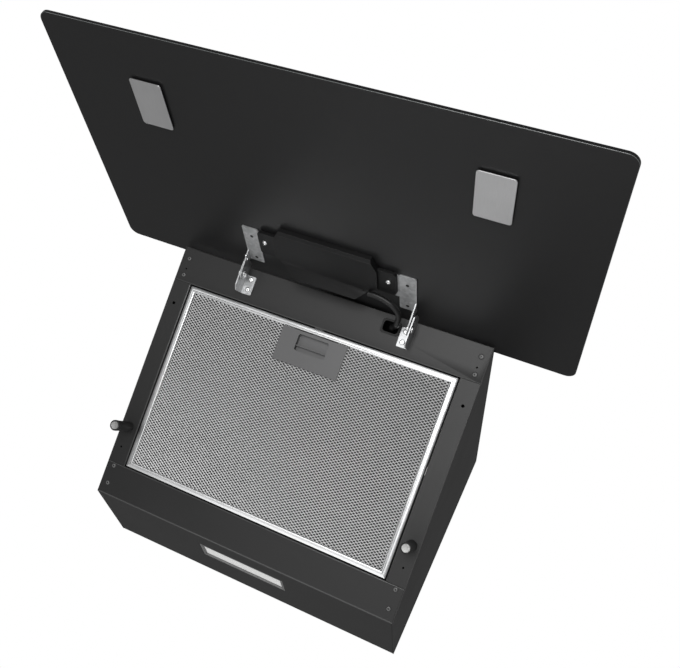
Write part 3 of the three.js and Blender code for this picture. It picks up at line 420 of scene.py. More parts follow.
def plain_moulded(name, low, high, *rest, **more):
    """A moulding in a neutral grey, from a low to a high brightness."""
    return moulded(name, (low,) * 3, (high,) * 3, *rest, **more)


BLACK_PLASTIC = moulded(
    "black_moulding", (0.0035, 0.0035, 0.0036), (0.007, 0.007, 0.0072), 0.42, 0.54, sheen=0.2
)
FINISHES = {
    "black_steel": powder_coat("black_powder_coat", 0.0045, 0.0095),
    "rubber": plain_moulded("black_rubber", 0.005, 0.012, 0.6, 0.85, 1300, 0.0001),
    "magnet": cast_magnet(),
    "zinc_steel": galvanised(),
    "bright_steel": bright_zinc(),
    "foam": plain_moulded("black_foam", 0.02, 0.05, 0.85, 0.97, 900, 0.0003),
    "black_plastic": BLACK_PLASTIC,
    "grey_plastic": moulded("grey_moulding", (0.075, 0.075, 0.076), (0.10, 0.10, 0.102), 0.36, 0.5),
    "diffuser": frosted_lens(),
    "board": circuit_board(),
    "black_glass": black_glass(),
    "cable": plain_moulded("cable_jacket", 0.004, 0.008, 0.34, 0.5, 900, 0.00008, 0.3),
    "filter_aluminium": rolled_aluminium("rolled_aluminium", (0.56, 0.57, 0.58), (0.82, 0.82, 0.82)),
}
# The folds' coat is several times lighter than the body's: a painted highlight along the folds.
FOLD_PAINTED_HIGHLIGHT = powder_coat("fold_coat_painted_highlight", 0.035, 0.06, 0.26, 0.36)
# A lighter copy of the black moulding for the housing's long ridges: a painted highlight.
HOUSING_RIDGE_PAINTED_HIGHLIGHT = plain_moulded("ridge_painted_highlight", 0.06, 0.09, 0.3, 0.4)
LIGHT_GREY = plain_moulded("light_surround", 0.115, 0.165, 0.34, 0.46)
STRIKE_STEEL = rolled_aluminium(
    "plain_strike_steel", (0.50, 0.50, 0.505), (0.72, 0.72, 0.725), lines=(1, 0.05, 0.1)
)
GLASS_RIM_HIGHLIGHT_PAINT = painted_rim_highlight()
GLASS_PRINT = printed_back()
MESH_STRAND = brushed_strand()
# A much lighter copy of the black paint for the screws' centres: a painted highlight.
SCREW_CENTRE_PAINTED_HIGHLIGHT = plain_moulded("painted_highlight_screw_centre", 0.07, 0.13, 0.26, 0.4)
# A dark sheet for the mesh core, standing for the shade behind the front mesh: painted shade.
MESH_CORE_PAINTED_SHADE = plain_moulded("dark_core_painted_shade", 0.004, 0.02, 0.6, 0.8)
print(len(FINISHES), "slot finishes")

# %% [markdown]
# ## From a mesh to a piece
# Every piece ends the same way: its mesh gets a finish, its shading and a body to ride on, and the CAD
# node that it stands for is hidden. Bevels and curved walls are shaded smooth. A flat panel stays
# flat-shaded, because smooth shading would bend its light round every hole and corner.

# %% Hand a mesh over
SHADE_ANGLE = math.radians(38)
FLAT_ANGLE = math.radians(0.6)


def shade(bm):
    """Smooth on bevels and on curved walls, flat on true flats."""
    rounded = bm.faces.layers.int.get("rounded")
    for face in bm.faces:
        face.smooth = bool(rounded and face[rounded])
    for edge in bm.edges:
        if len(edge.link_faces) != 2:
            continue
        angle = edge.calc_face_angle(0)
        edge.smooth = angle < SHADE_ANGLE
        first, second = edge.link_faces
        eased_edge = rounded and (first[rounded] or second[rounded])
        if FLAT_ANGLE < angle < SHADE_ANGLE and not eased_edge:
            first.smooth = True
            second.smooth = True


def hand_over(bm, name, finishes, body, replaced=(), slot=None):
    """Turns a bmesh into a finished piece."""
    shade(bm)
    mesh = bpy.data.meshes.new(name)
    bm.to_mesh(mesh)
    bm.free()
    for finish in finishes:
        mesh.materials.append(finish.material)
    piece = linked(name, mesh)
    if body:
        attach(piece, body)
    if replaced:
        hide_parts(*replaced)
        slot = slot or SLOTS[replaced[0]]
    return piece


def body_of(node):
    return NODES[node]["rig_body"]


# %% Sort and cut a mesh's items
def only(kind, items):
    """The vertices, edges or faces among mixed items."""
    return [item for item in items if isinstance(item, kind)]


def cut_off(bm, at, normal):
    """Cuts a mesh by a plane and drops the side that the normal points to. Returns the cut's items."""
    whole = bm.verts[:] + bm.edges[:] + bm.faces[:]
    return bmesh.ops.bisect_plane(bm, geom=whole, plane_co=at, plane_no=normal, clear_outer=True)["geom_cut"]


# %% [markdown]
# ## Easing the edges of a CAD solid
# A CAD solid has knife edges. Real sheet, plastic and castings never have: the light on a rounded
# edge is what makes them look made. The copy's triangles are merged first, flat neighbours are joined
# into one face, and then only the convex sharp edges are bevelled, so the outer size stays the same.

# %% Ease a solid's edges
def merged_copy(node):
    bm = bmesh.new()
    bm.from_mesh(NODES[node].data)
    bmesh.ops.remove_doubles(bm, verts=bm.verts, dist=5e-6)
    bmesh.ops.dissolve_limit(
        bm, angle_limit=FLAT_ANGLE, verts=bm.verts, edges=bm.edges, use_dissolve_boundaries=False
    )
    return bm


def ease(bm, width, segments=2, over=38, where=None, material=0):
    """Rounds the convex edges that turn by more than a limit, and can give them their own finish."""
    limit = math.radians(over)
    sharp = [
        edge
        for edge in bm.edges
        if len(edge.link_faces) == 2
        and edge.calc_face_angle_signed(0) > limit
        and (where is None or where(edge))
    ]
    rounded = bm.faces.layers.int.get("rounded") or bm.faces.layers.int.new("rounded")
    made = bmesh.ops.bevel(
        bm,
        geom=sharp,
        offset=width,
        offset_type="OFFSET",
        segments=segments,
        profile=0.5,
        affect="EDGES",
        clamp_overlap=True,
        material=-1,
    )
    for face in made["faces"]:
        face[rounded] = 1
        face.material_index = material
    return bm


def eased(node, width=0.0003, segments=2, finish=None, over=38):
    """A CAD node's solid with eased edges, in place of the node."""
    bm = ease(merged_copy(node), width, segments, over)
    used = finish or FINISHES[SLOTS[node]]
    return hand_over(bm, f"{node}_eased", [used], body_of(node), [node])


def both(name):
    return [f"{name}_left", f"{name}_right"]


# %% [markdown]
# ## The body's sheets
# The body is folded from 1.2 mm sheet. A press brake leaves an outside radius a little over the
# sheet's thickness, and that radius is the thin bright line down the side. So the long folds are
# rounded first and wide, and the cut edges after that, by much less. The wide rounds are also
# coloured several times lighter than the panels, a painted highlight for that line.

# %% Fold the body's panels
FOLD_R = 0.0012
CUT_EDGE_R = 0.00025
LONG_FOLD = 0.1


def is_long(edge):
    return edge.calc_length() > LONG_FOLD


def on_outside(edge):
    """True on the folds that show: down the sides' front, along the top front and the lower front."""
    middle = (edge.verts[0].co + edge.verts[1].co) / 2
    local = FACE.inverted() @ middle
    return is_long(edge) and -0.4 < local.y < 0.2


def folded(node, radius=FOLD_R):
    bm = merged_copy(node)
    # The wide fold rounds get the lighter coat, a painted highlight.
    ease(bm, radius, 4, 20, on_outside, 1)
    ease(bm, CUT_EDGE_R, 2)
    finishes = [FINISHES[SLOTS[node]], FOLD_PAINTED_HIGHLIGHT]
    return hand_over(bm, f"{node}_folded", finishes, body_of(node), [node])


for name in both("side_panel"):
    folded(name)
folded("top_rail")
folded("sill_panel", 0.0022)
for name in ("back_panel", "top_panel"):
    eased(name, CUT_EDGE_R)

# %% [markdown]
# ## Turned parts
# Posts, magnets, screws, pins and the duct collar are round. Each one is a profile of a few points,
# given as radius and height, spun once round and closed.

# %% Spin a profile
def turned(profile, steps=48):
    """A profile of (radius, height) points, spun about Z."""
    bm = bmesh.new()
    points = [bm.verts.new((radius, 0, height)) for radius, height in profile]
    edges = [bm.edges.new(pair) for pair in zip(points, points[1:])]
    bmesh.ops.spin(
        bm, geom=points + edges, cent=(0, 0, 0), axis=(0, 0, 1), angle=math.tau, steps=steps, use_merge=True
    )
    bmesh.ops.remove_doubles(bm, verts=bm.verts, dist=1e-3)
    bmesh.ops.recalc_face_normals(bm, faces=bm.faces)
    return bm


def stood(bm, plane, at, toward):
    """Stands a piece drawn up Z at a point of a plane, pointing some other way."""
    facing = Vector(toward).to_track_quat("Z", "Y").to_matrix().to_4x4()
    bmesh.ops.transform(bm, matrix=plane @ Matrix.Translation(at) @ facing, verts=bm.verts)
    return bm


OUT = (0, -1, 0)
SIDES = {"left": -1, "right": 1}

# %% [markdown]
# ## Posts and magnets
# Two rubber-sleeved posts stand out of the side strips, each with a magnet in its end that catches a
# steel plate on the glass. The rubber has a rounded lip and a slight waist above its foot. The magnet
# is cast and left rough, so it glitters.

# %% Make the posts
POST_X, POST_DOWN, POST_R, POST_H = 196.4, 246, 6.8, 36.8
MAGNET_R, MAGNET_T = 5.2, 4
STUD_R, STUD_L = 2.5, 9


def post_profile():
    bore = MAGNET_R + 0.3
    waist = POST_R - 0.25
    return [
        (0, -STUD_L), (STUD_R - 0.3, -STUD_L), (STUD_R, -STUD_L + 0.4), (STUD_R, -0.3), (STUD_R + 0.2, -0.3),
        (POST_R - 0.5, 0.3), (POST_R, 0.8), (POST_R, 4), (waist, 5.5), (waist, POST_H - 7),
        (POST_R, POST_H - 5.5), (POST_R, POST_H - 0.9), (waist, POST_H - 0.3),
        (POST_R - 0.8, POST_H), (bore, POST_H), (bore, POST_H - MAGNET_T), (0, POST_H - MAGNET_T),
    ]


def magnet_profile():
    top = POST_H - 0.1
    return [
        (0, POST_H - MAGNET_T + 0.3), (MAGNET_R, POST_H - MAGNET_T + 0.3), (MAGNET_R, top - 0.5),
        (MAGNET_R - 0.4, top), (MAGNET_R - 1.1, top - 0.15), (0, top - 0.15),
    ]


for side, sign in SIDES.items():
    foot = (sign * POST_X, 0, -POST_DOWN)
    bm = stood(turned(post_profile()), FACE, foot, OUT)
    hand_over(bm, f"post_{side}_sleeve", [FINISHES["rubber"]], "hood", [f"post_{side}"])
    bm = stood(turned(magnet_profile()), FACE, foot, OUT)
    hand_over(bm, f"magnet_{side}_disc", [FINISHES["magnet"]], "hood", [f"magnet_{side}"])
    eased(f"post_nut_{side}", 0.0004)

# %% [markdown]
# ## The grease filter's frame
# The frame is one aluminium channel, mitred at the corners. Insetting a face by even steps mitres all
# four corners at once, and moving it at each step draws the profile: a rounded outer edge, a flat, a
# raised bead, and the lip that turns in over the mesh. Each side is then cut out along the mitres,
# which leaves the hairline gap that the real corners have.

# %% Draw the frame's profile by insets
FILTER_BACK, FILTER_T, FILTER_SKIN, GAP = 0.5, 9, 1, 0.3
STILE_W, RAIL_H, SILL_H, FILTER_PLAY = 25, 45, 42.3, 1.4
FILTER_HALF_W = BODY_W / 2 - STILE_W - FILTER_PLAY
FILTER_TOP = RAIL_H + FILTER_PLAY
FILTER_BOTTOM = FACE_L - SILL_H - FILTER_PLAY
WALL_SHORT = 0.8  # the plain outer wall ends this far below the frame's nominal front
FRAME_STEPS = [
    # (how far in, how far out of the plane)
    (0.25, 0.45), (0.45, 0.3), (3.9, 0.0), (0.35, 0.32), (0.75, 0.12), (0.75, -0.12), (0.55, -0.5),
    (0.5, -0.5),
]


def plate(half_w, low, high, y):
    """A single upright face, across X and Z."""
    bm = bmesh.new()
    bmesh.ops.create_grid(bm, x_segments=1, y_segments=1, size=1)
    size = Matrix.Diagonal((half_w, (high - low) / 2, 1, 1))
    upright = Matrix.Translation((0, y, (low + high) / 2)) @ Matrix.Rotation(math.pi / 2, 4, "X")
    bmesh.ops.transform(bm, matrix=upright @ size, verts=bm.verts)
    return bm


def frame_ring():
    """The frame's front skin, all four sides in one."""
    bm = plate(FILTER_HALF_W, -FILTER_BOTTOM, -FILTER_TOP, FILTER_BACK + FILTER_T)
    face = bm.faces[:][0]
    if face.normal.y > 0:
        bmesh.ops.reverse_faces(bm, faces=[face])
    walls = bmesh.ops.extrude_face_region(bm, geom=[face])
    front = only(bmesh.types.BMFace, walls["geom"])[0]
    bmesh.ops.translate(bm, vec=(0, WALL_SHORT - FILTER_T, 0), verts=front.verts)
    if face.is_valid:
        bmesh.ops.delete(bm, geom=[face], context="FACES_ONLY")
    for inward, outward in FRAME_STEPS:
        bmesh.ops.inset_region(bm, faces=[front], thickness=inward, depth=outward, use_even_offset=True)
    bmesh.ops.delete(bm, geom=[front], context="FACES_ONLY")
    bmesh.ops.recalc_face_normals(bm, faces=bm.faces)
    return bm


# %% [markdown]
# The profile is a thin skin, so it gets a wall first. Four copies of the ring are then cut by two
# slanted planes each, and the cut ends are capped.

# %% Cut the four mitred sides
WALL_T = 0.8
MITRE_GAP = 0.12


def mitred_side(direction):
    """One side of the frame. direction is +X, -X, +Z or -Z, in the face's plane."""
    bm = frame_ring()
    bmesh.ops.solidify(bm, geom=bm.faces[:], thickness=WALL_T)
    middle_z = -(FILTER_TOP + FILTER_BOTTOM) / 2
    half_h = (FILTER_BOTTOM - FILTER_TOP) / 2
    along_x, along_z = direction
    corners = [(right, up) for right in (1, -1) for up in (1, -1)]
    for right, up in corners:
        if right * along_x <= 0 and up * along_z <= 0:
            continue
        across = Vector((-right, 0, up)).normalized()
        normal = across if along_x else -across
        corner = Vector((right * FILTER_HALF_W, 0, up * half_h + middle_z))
        rim = only(bmesh.types.BMEdge, cut_off(bm, corner - normal * MITRE_GAP, normal))
        bmesh.ops.holes_fill(bm, edges=rim, sides=0)
    bmesh.ops.recalc_face_normals(bm, faces=bm.faces)
    bmesh.ops.transform(bm, matrix=FACE, verts=bm.verts)
    return bm


FRAME_SIDES = {"left": (-1, 0), "right": (1, 0), "upper": (0, 1), "lower": (0, -1)}
for side, direction in FRAME_SIDES.items():
    hand_over(
        mitred_side(direction),
        f"filter_frame_{side}",
        [FINISHES["filter_aluminium"]],
        "filter",
        ["filter_frame"] if side == "upper" else (),
        "filter_aluminium",
    )

# %% [markdown]
# ## Expanded mesh
# The mesh is slit and stretched from one sheet, so its strands are joined and slightly twisted, with
# rows of small diamond holes. A grid turned by 45 degrees has the right pattern: every cell is inset,
# its middle is opened, and one edge of the hole is raised while the other sinks, which gives each
# strand its twist. It is made in two strips so that no piece gets too heavy.

# %% Weave the front mesh
HOLE_PITCH_X, HOLE_PITCH_Z = 6.0, 3.77
STRAND_W = 0.72
STRAND_TWIST = 0.5
MESH_T = 0.35
MESH_Y = FILTER_BACK + FILTER_SKIN + GAP + 0.5
WELL_HALF_W, WELL_BOTTOM = 29.3, 96.5  # the latch stands there, with no mesh
SMALLEST_CELL = 0.3  # a cut cell with less area than this stays closed
CELL_MIDDLE = 0.1  # points this close to a cell's middle line are neither raised nor sunk
STRIPS = 2


def diamond_grid(low, high, half_w):
    """A sheet of diamonds that covers the area and a little more, in cell units of one."""
    count = math.ceil(2 * half_w / HOLE_PITCH_X + (high - low) / HOLE_PITCH_Z) + 4
    bm = bmesh.new()
    bmesh.ops.create_grid(bm, x_segments=count, y_segments=count, size=count * math.sqrt(0.5) / 2)
    turn = Matrix.Rotation(math.pi / 4, 4, "Z")
    stretch = Matrix.Diagonal((HOLE_PITCH_X, HOLE_PITCH_Z, 1, 1))
    upright = Matrix.Translation((0, 0, (low + high) / 2)) @ Matrix.Rotation(math.pi / 2, 4, "X")
    bmesh.ops.transform(bm, matrix=upright @ stretch @ turn, verts=bm.verts)
    return bm


def trim_to(bm, x0, x1, z0, z1):
    """Cuts a mesh down to a rectangle across X and Z."""
    cut_off(bm, (x0, 0, 0), (-1, 0, 0))
    cut_off(bm, (x1, 0, 0), (1, 0, 0))
    cut_off(bm, (0, 0, z0), (0, 0, -1))
    cut_off(bm, (0, 0, z1), (0, 0, 1))


def mesh_strip(x0, x1, low, high, y):
    """The cells whose middles lie from x0 to x1, so that two strips share a zigzag of whole strands."""
    bm = diamond_grid(low, high, FILTER_HALF_W)
    trim_to(bm, -MESH_HALF_W, MESH_HALF_W, low, high)
    away = [f for f in bm.faces if not x0 <= f.calc_center_median().x < x1]
    bmesh.ops.delete(bm, geom=away, context="FACES")
    cells = [f for f in bm.faces if f.calc_area() > SMALLEST_CELL]
    bmesh.ops.inset_individual(bm, faces=cells, thickness=STRAND_W / 2, use_even_offset=True)
    for face in cells:
        middle = face.calc_center_median().z
        for vert in face.verts:
            above = vert.co.z > middle + CELL_MIDDLE
            below = vert.co.z < middle - CELL_MIDDLE
            vert.co.y -= (above - below) * STRAND_TWIST
    bmesh.ops.delete(bm, geom=cells, context="FACES_ONLY")
    hidden = [
        f
        for f in bm.faces
        if abs(f.calc_center_median().x) < WELL_HALF_W and f.calc_center_median().z > -WELL_BOTTOM
    ]
    bmesh.ops.delete(bm, geom=hidden, context="FACES")
    bmesh.ops.recalc_face_normals(bm, faces=bm.faces)
    bmesh.ops.solidify(bm, geom=bm.faces[:], thickness=MESH_T)
    bmesh.ops.translate(bm, vec=(0, y, 0), verts=bm.verts)
    bmesh.ops.transform(bm, matrix=FACE, verts=bm.verts)
    return bm


MESH_INSET = FILTER_SKIN + GAP + 1
MESH_HALF_W = FILTER_HALF_W - MESH_INSET
MESH_LOW = -FILTER_BOTTOM + MESH_INSET
MESH_HIGH = -FILTER_TOP - MESH_INSET
for index in range(STRIPS):
    x0 = -MESH_HALF_W + index * 2 * MESH_HALF_W / STRIPS
    x1 = x0 + 2 * MESH_HALF_W / STRIPS
    strip = mesh_strip(x0, x1, MESH_LOW, MESH_HIGH, MESH_Y)
    print("mesh strip", index, len(strip.faces), "faces")
    hand_over(
        strip,
        f"filter_mesh_strip_{index}",
        [MESH_STRAND],
        "filter",
        ["filter_mesh_front"] if index == 0 else (),
        "filter_aluminium",
    )
# The core behind the front mesh is the dark sheet, a painted shade.
eased("filter_mesh_core", 0.0002, 1, MESH_CORE_PAINTED_SHADE)
eased("filter_mesh_back", 0.0002, 1, MESH_STRAND)

# %% [markdown]
# ## Latch and light
# Both are moulded in grey plastic with small, even edge radii, so their CAD solids are right once the
# edges are eased. The latch's spring has its top on the latch and its foot on the filter; its eased
# copy rides on neither and stays where it is drawn.

# %% Latch, spring and light
for name in ("latch_plate", "latch_slider"):
    eased(name, 0.0003, 3)
bm = ease(merged_copy("latch_spring"), 0.0001, 1, 80)
spring = hand_over(bm, "latch_spring_eased", [FINISHES["bright_steel"]], None, ["latch_spring"])
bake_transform(spring)
eased("led_bezel", 0.0005, 3, LIGHT_GREY)
eased("led_lens", 0.0004, 3)
eased("led_board", 0.0002, 1)

# %% [markdown]
# ## The glass
# Tempered glass is cut, its corners are rounded, and both edges are ground and polished to a small
# chamfer. It starts as one face: the four corners are bevelled as points, the face is given its
# thickness, and the rims are bevelled. The inner rim catches the light, so it is coloured lighter, a
# painted highlight.

# %% Grind the glass
GLASS_W, GLASS_L, GLASS_T, GLASS_CORNER_R = 600, 350, 4, 12
CHAMFER = 0.5
INNER_RIM, PRINTED_SIDE = 1, 2  # places in the slab's list of finishes


def glass_slab():
    bm = bmesh.new()
    bmesh.ops.create_grid(bm, x_segments=1, y_segments=1, size=1)
    bmesh.ops.transform(bm, matrix=Matrix.Diagonal((GLASS_W / 2, GLASS_L / 2, 1, 1)), verts=bm.verts)
    bmesh.ops.bevel(
        bm, geom=bm.verts[:], offset=GLASS_CORNER_R, offset_type="OFFSET", segments=14, profile=0.5,
        affect="VERTICES", clamp_overlap=True, material=-1,
    )
    raised = bmesh.ops.extrude_face_region(bm, geom=bm.faces[:])
    bmesh.ops.translate(bm, vec=(0, 0, GLASS_T), verts=only(bmesh.types.BMVert, raised["geom"]))
    bmesh.ops.recalc_face_normals(bm, faces=bm.faces)
    ease(bm, CHAMFER, 3, 60)
    # The inner rim gets the lighter finish, a painted highlight.
    for face in bm.faces:
        if face.normal.z < -0.99:
            face.material_index = PRINTED_SIDE
        elif -0.95 < face.normal.z < -0.2:
            face.material_index = INNER_RIM
    return bm


slab = glass_slab()
lying = Matrix.Translation((0, 0, -GLASS_L / 2)) @ Matrix.Rotation(math.pi / 2, 4, "X")
bmesh.ops.transform(slab, matrix=PANEL @ lying, verts=slab.verts)
glass_finishes = [FINISHES["black_glass"], GLASS_RIM_HIGHLIGHT_PAINT, GLASS_PRINT]
hand_over(slab, "glass_slab", glass_finishes, "glass", ["glass_panel"])

# %% [markdown]
# ## Brackets and what the glass carries
# The brackets are stamped from galvanised strip and bent. Stamping rounds one side of an edge, so a
# third of a millimetre is enough. The touch control's housing is a moulding with soft edges, and its
# long ridges are coloured lighter, a painted highlight.

# %% Brackets, strike plates and housing
for side in SIDES:
    for name in (f"upper_bracket_{side}", f"lower_bracket_{side}"):
        eased(name, 0.0003, 2)
    eased(f"strike_plate_{side}", 0.0003, 2, STRIKE_STEEL)
    eased(f"strike_pad_{side}", 0.0003, 1)
RIDGE_LENGTH = 0.014  # shorter edges stay sharp


def is_ridge(edge):
    return edge.calc_length() > RIDGE_LENGTH


# The long ridges get the lighter copy, a painted highlight.
bm = ease(merged_copy("control_housing"), 0.0009, 3, 16, is_ridge, 1)
hand_over(bm, "control_housing_eased", [BLACK_PLASTIC, HOUSING_RIDGE_PAINTED_HIGHLIGHT], "glass", ["control_housing"])
eased("touch_board", 0.0002, 1)
eased("cable_grommet", 0.0004, 2)

# %% [markdown]
# ## Screws
# A pan-head screw is turned, and its cross is pressed in: the top face is inset, cut by four planes
# into nine, and the five that make the cross are sunk.

# %% Screws with a cross recess
HEAD_R, HEAD_T = 3.2, 1.8


def screw(shank_r, shank_l, head_r=HEAD_R, head_t=HEAD_T, arm=0.5, depth=0.9):
    """A pan-head screw with a cross recess. Its head's underside is at zero, and it points down Z."""

    def on_top(face):
        return face.normal.z > 0.99 and face.calc_center_median().z > head_t * 0.98

    profile = [
        (0, -shank_l), (shank_r * 0.7, -shank_l), (shank_r, -shank_l + 0.8), (shank_r, 0), (head_r, 0),
        (head_r, head_t * 0.35), (head_r * 0.94, head_t * 0.7), (head_r * 0.8, head_t * 0.93),
        (head_r * 0.62, head_t), (0, head_t),
    ]
    bm = turned(profile, 32)
    bmesh.ops.dissolve_faces(bm, faces=[f for f in bm.faces if on_top(f)])
    for normal in ((1, 0, 0), (0, 1, 0)):
        for offset in (-arm, arm):
            near = [f for f in bm.faces if on_top(f)]
            around = list({item for f in near for item in [f, *f.verts, *f.edges]})
            line = Vector(normal) * offset
            bmesh.ops.bisect_plane(bm, geom=around, plane_co=line, plane_no=normal, clear_outer=False)
    reach = head_r * 0.62
    cross = []
    for face in bm.faces:
        middle = face.calc_center_median().xy
        if on_top(face) and min(abs(middle.x), abs(middle.y)) < arm * 0.5 and middle.length < reach:
            cross.append(face)
    sunk = bmesh.ops.extrude_face_region(bm, geom=cross)
    floor = only(bmesh.types.BMVert, sunk["geom"])
    bmesh.ops.delete(bm, geom=[f for f in cross if f.is_valid], context="FACES_ONLY")
    bmesh.ops.translate(bm, vec=(0, 0, -depth), verts=floor)
    bmesh.ops.recalc_face_normals(bm, faces=bm.faces)
    return bm


def ring_screw():
    """A painted socket screw in a dark dished ring, drawn up Z."""
    bm = turned(
        [(0, -2), (1.2, -2), (1.2, -0.1), (3.2, -0.1), (3.35, 0.12), (3.1, 0.22), (2.45, 0.08), (2.35, 0.1),
         (2.2, 0.5), (1.9, 0.66), (1.05, 0.7), (0.95, 0.62), (0.95, -0.2), (0, -0.3)],
        32,
    )
    # The screw's centre gets the lighter copy of the paint, a painted highlight.
    for face in bm.faces:
        radius = face.calc_center_median().xy.length
        face.material_index = 1 if 1.0 < radius < 2.4 and face.normal.z > -0.5 else 0
    return bm


RING_SCREW_X = 196.8
RING_SCREWS = (14.5, 36.5, 300, 323.5)
for side, sign in SIDES.items():
    for index, down in enumerate(RING_SCREWS):
        bm = stood(ring_screw(), FACE, (sign * RING_SCREW_X, 0, -down), OUT)
        name = f"panel_screw_{side}_{index + 1}"
        hand_over(bm, name, [FINISHES["rubber"], SCREW_CENTRE_PAINTED_HIGHLIGHT], "hood", (), "black_steel")

PLATE_T = 1.5
FOOT_SCREW_X = 104.5
FOOT_SCREWS = {"upper": 15.3, "lower": 28.3}
EAR_SCREW = (79, 83)
for side, sign in SIDES.items():
    for level, down in FOOT_SCREWS.items():
        at = (sign * FOOT_SCREW_X, -2 * GAP - PLATE_T, -down)
        bm = stood(screw(1.6, 6), FACE, at, OUT)
        node = f"bracket_screw_{level}_{side}"
        hand_over(bm, f"{node}_head", [FINISHES["bright_steel"]], "hood", [node])
    at = (sign * EAR_SCREW[0], GAP + PLATE_T + GAP + 4 + GAP, -EAR_SCREW[1])
    bm = stood(screw(1.6, 5), PANEL, at, (0, 1, 0))
    hand_over(bm, f"ear_screw_{side}_head", [FINISHES["bright_steel"]], "glass", [f"ear_screw_{side}"])
    eased(f"hinge_pin_{side}", 0.0005, 3)

# %% [markdown]
# The bracket's plate is stuck to the glass and held by two flush black screws. Two bright rivets sit on
# the left bracket's inner side, above the pin.

# %% Flush screws and rivets
PLATE_UNDER = GAP + PLATE_T
PLATE_HOLE_X = 100
PLATE_HOLES = (40, 80)
BRACKET_OUTER_X = 111
BRACKET_INNER_X = BRACKET_OUTER_X - PLATE_T


def button(radius, height, seat=0.6):
    """A low round head: a straight rim, an eased shoulder and a slightly domed top."""
    rim = [(0, -seat), (radius, -seat), (radius, height * 0.4)]
    dome = [(radius * 0.9, height * 0.8), (radius * 0.6, height), (0, height)]
    return turned(rim + dome, 32)


for side, sign in SIDES.items():
    for index, out in enumerate(PLATE_HOLES):
        bm = stood(button(2.1, 0.35), PANEL, (sign * PLATE_HOLE_X, PLATE_UNDER, -out), (0, 1, 0))
        hand_over(bm, f"plate_screw_{side}_{index + 1}", [FINISHES["rubber"]], "glass", (), "black_plastic")
RIVETS = ((9.6, -48), (9.2, -40))
for index, (down, out) in enumerate(RIVETS):
    bm = stood(button(1.7, 0.9), PANEL, (-BRACKET_INNER_X, down, out), (1, 0, 0))
    hand_over(bm, f"bracket_rivet_{index + 1}", [FINISHES["bright_steel"]], "glass", (), "bright_steel")

# %% [markdown]
# ## The control cable
# A short cable leaves the touch control, bends down beside the right bracket and goes through a
# grommet into the body. It is held at both ends, one on each side of the hinge; here it rides on
# neither body and stays where it is drawn. A Bezier curve through a few points gives its route.

# %% Lay the cable
CABLE_R = 3.5
ON_PANEL = [
    (56, 13.5, -58), (66, 13.5, -58), (78, 14.5, -56), (89, 16.5, -51), (96, 19.5, -42), (96, 24.5, -33),
]
ON_FACE = [(91, -7, -13.5), (86, 1, -15.5), (85, 9, -16.5), (85, 18, -18.5)]
route = [PANEL @ Vector(p) for p in ON_PANEL] + [FACE @ Vector(p) for p in ON_FACE]

curve = bpy.data.curves.new("cable_route", "CURVE")
curve.dimensions = "3D"
curve.bevel_depth = CABLE_R / 1000
curve.bevel_resolution = 5
curve.use_fill_caps = True
curve.resolution_u = 8
spline = curve.splines.new("BEZIER")
spline.bezier_points.add(len(route) - 1)
for point, at in zip(spline.bezier_points, route):
    point.co = at
    point.handle_left_type = "AUTO"
    point.handle_right_type = "AUTO"
holder = linked("cable_route", curve)
bpy.context.view_layer.update()
cable_mesh = bpy.data.meshes.new_from_object(holder.evaluated_get(bpy.context.evaluated_depsgraph_get()))
bpy.data.objects.remove(holder)
bm = bmesh.new()
bm.from_mesh(cable_mesh)
bmesh.ops.remove_doubles(bm, verts=bm.verts, dist=1e-5)
bmesh.ops.recalc_face_normals(bm, faces=bm.faces)
mesh = bpy.data.meshes.new("control_cable_jacket")
bm.to_mesh(mesh)
bm.free()
mesh.materials.append(FINISHES["cable"].material)
mesh.shade_smooth()
mesh.set_sharp_from_angle(angle=SHADE_ANGLE)
cable = linked("control_cable_jacket", mesh)
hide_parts("control_cable")
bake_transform(cable)

# %% [markdown]
# ## The duct collar and its flaps
# The collar is a thin moulding: a base flange, a plain wall with two beads that grip the duct, and a
# rounded mouth. It is one closed profile, spun.

# %% Duct collar, rod and flaps
DUCT_R, DUCT_H, RIM_R, DUCT_Y, WALL = 60, 42, 74, -152, 1.5


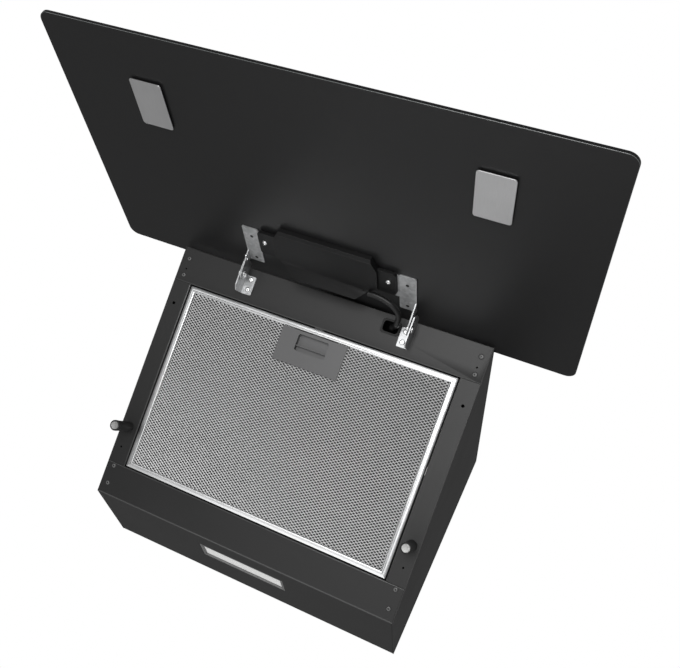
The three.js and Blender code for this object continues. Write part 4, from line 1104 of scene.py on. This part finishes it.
def collar_profile():
    inner = DUCT_R - WALL
    bead = [(DUCT_R - 0.6, 8), (DUCT_R - 0.1, 8.8), (DUCT_R - 0.1, 10.2), (DUCT_R - 0.6, 11)]
    return (
        [(inner, 0), (RIM_R - 0.4, 0), (RIM_R, 0.4), (RIM_R, WALL - 0.4), (RIM_R - 0.4, WALL)]
        + [(DUCT_R + 1.0, WALL), (DUCT_R - 0.2, WALL + 0.8), (DUCT_R - 0.6, WALL + 2)]
        + bead
        + [(radius, height + 20) for radius, height in bead]
        + [(DUCT_R - 0.6, DUCT_H - 2), (DUCT_R, DUCT_H - 1), (DUCT_R - 0.1, DUCT_H - 0.2)]
        + [(DUCT_R - 0.5, DUCT_H), (inner + 0.3, DUCT_H), (inner, DUCT_H - 0.4), (inner, 0)]
    )


bm = stood(turned(collar_profile(), 96), BODY, (0, DUCT_Y, BODY_H + GAP), (0, 0, 1))
hand_over(bm, "duct_collar_moulding", [BLACK_PLASTIC], "hood", ["outlet_collar"])
for name in ("damper_flap_front", "damper_flap_rear"):
    eased(name, 0.0002, 2)
for name in ("damper_rod", "motor_shaft"):
    eased(name, 0.0004, 2)

# %% [markdown]
# ## Inside the body
# The blower, the motor and the electrics are behind the filter. They show through the duct and when
# the filter tips down, so their edges are eased and they get their own finishes.

# %% Blower and electrics
for name in ("blower_scroll", "motor_bracket", "control_box", "box_lid", "mains_gland"):
    eased(name, 0.0004, 2)
eased("motor", 0.0012, 3)
eased("capacitor", 0.0012, 3)
eased("power_board", 0.0004, 2)
eased("impeller", 0.0001, 1)

# %% [markdown]
# ## Floor
# A plain pale floor stands well below the hood, as the hob would.

# %% The floor
FLOOR_Z = -1.5
bm = bmesh.new()
bmesh.ops.create_grid(bm, x_segments=1, y_segments=1, size=4)
bmesh.ops.translate(bm, vec=(0, 0, FLOOR_Z), verts=bm.verts)
floor_mesh = bpy.data.meshes.new("studio_floor")
bm.to_mesh(floor_mesh)
bm.free()
paper = Finish("floor_paper", Roughness=0.9)
paper.drive(Base_Color=paper.blend(paper.noise(3, 2), (0.78, 0.78, 0.78), (0.82, 0.82, 0.82)))
floor_mesh.materials.append(paper.material)
studio_floor = linked("studio_floor", floor_mesh)

# %% Any CAD node that still shows gets its slot's finish
for name, node in NODES.items():
    if not node.hide_render:
        node.data.materials.clear()
        node.data.materials.append(FINISHES[SLOTS[name]].material)
        print("kept as drawn:", name)
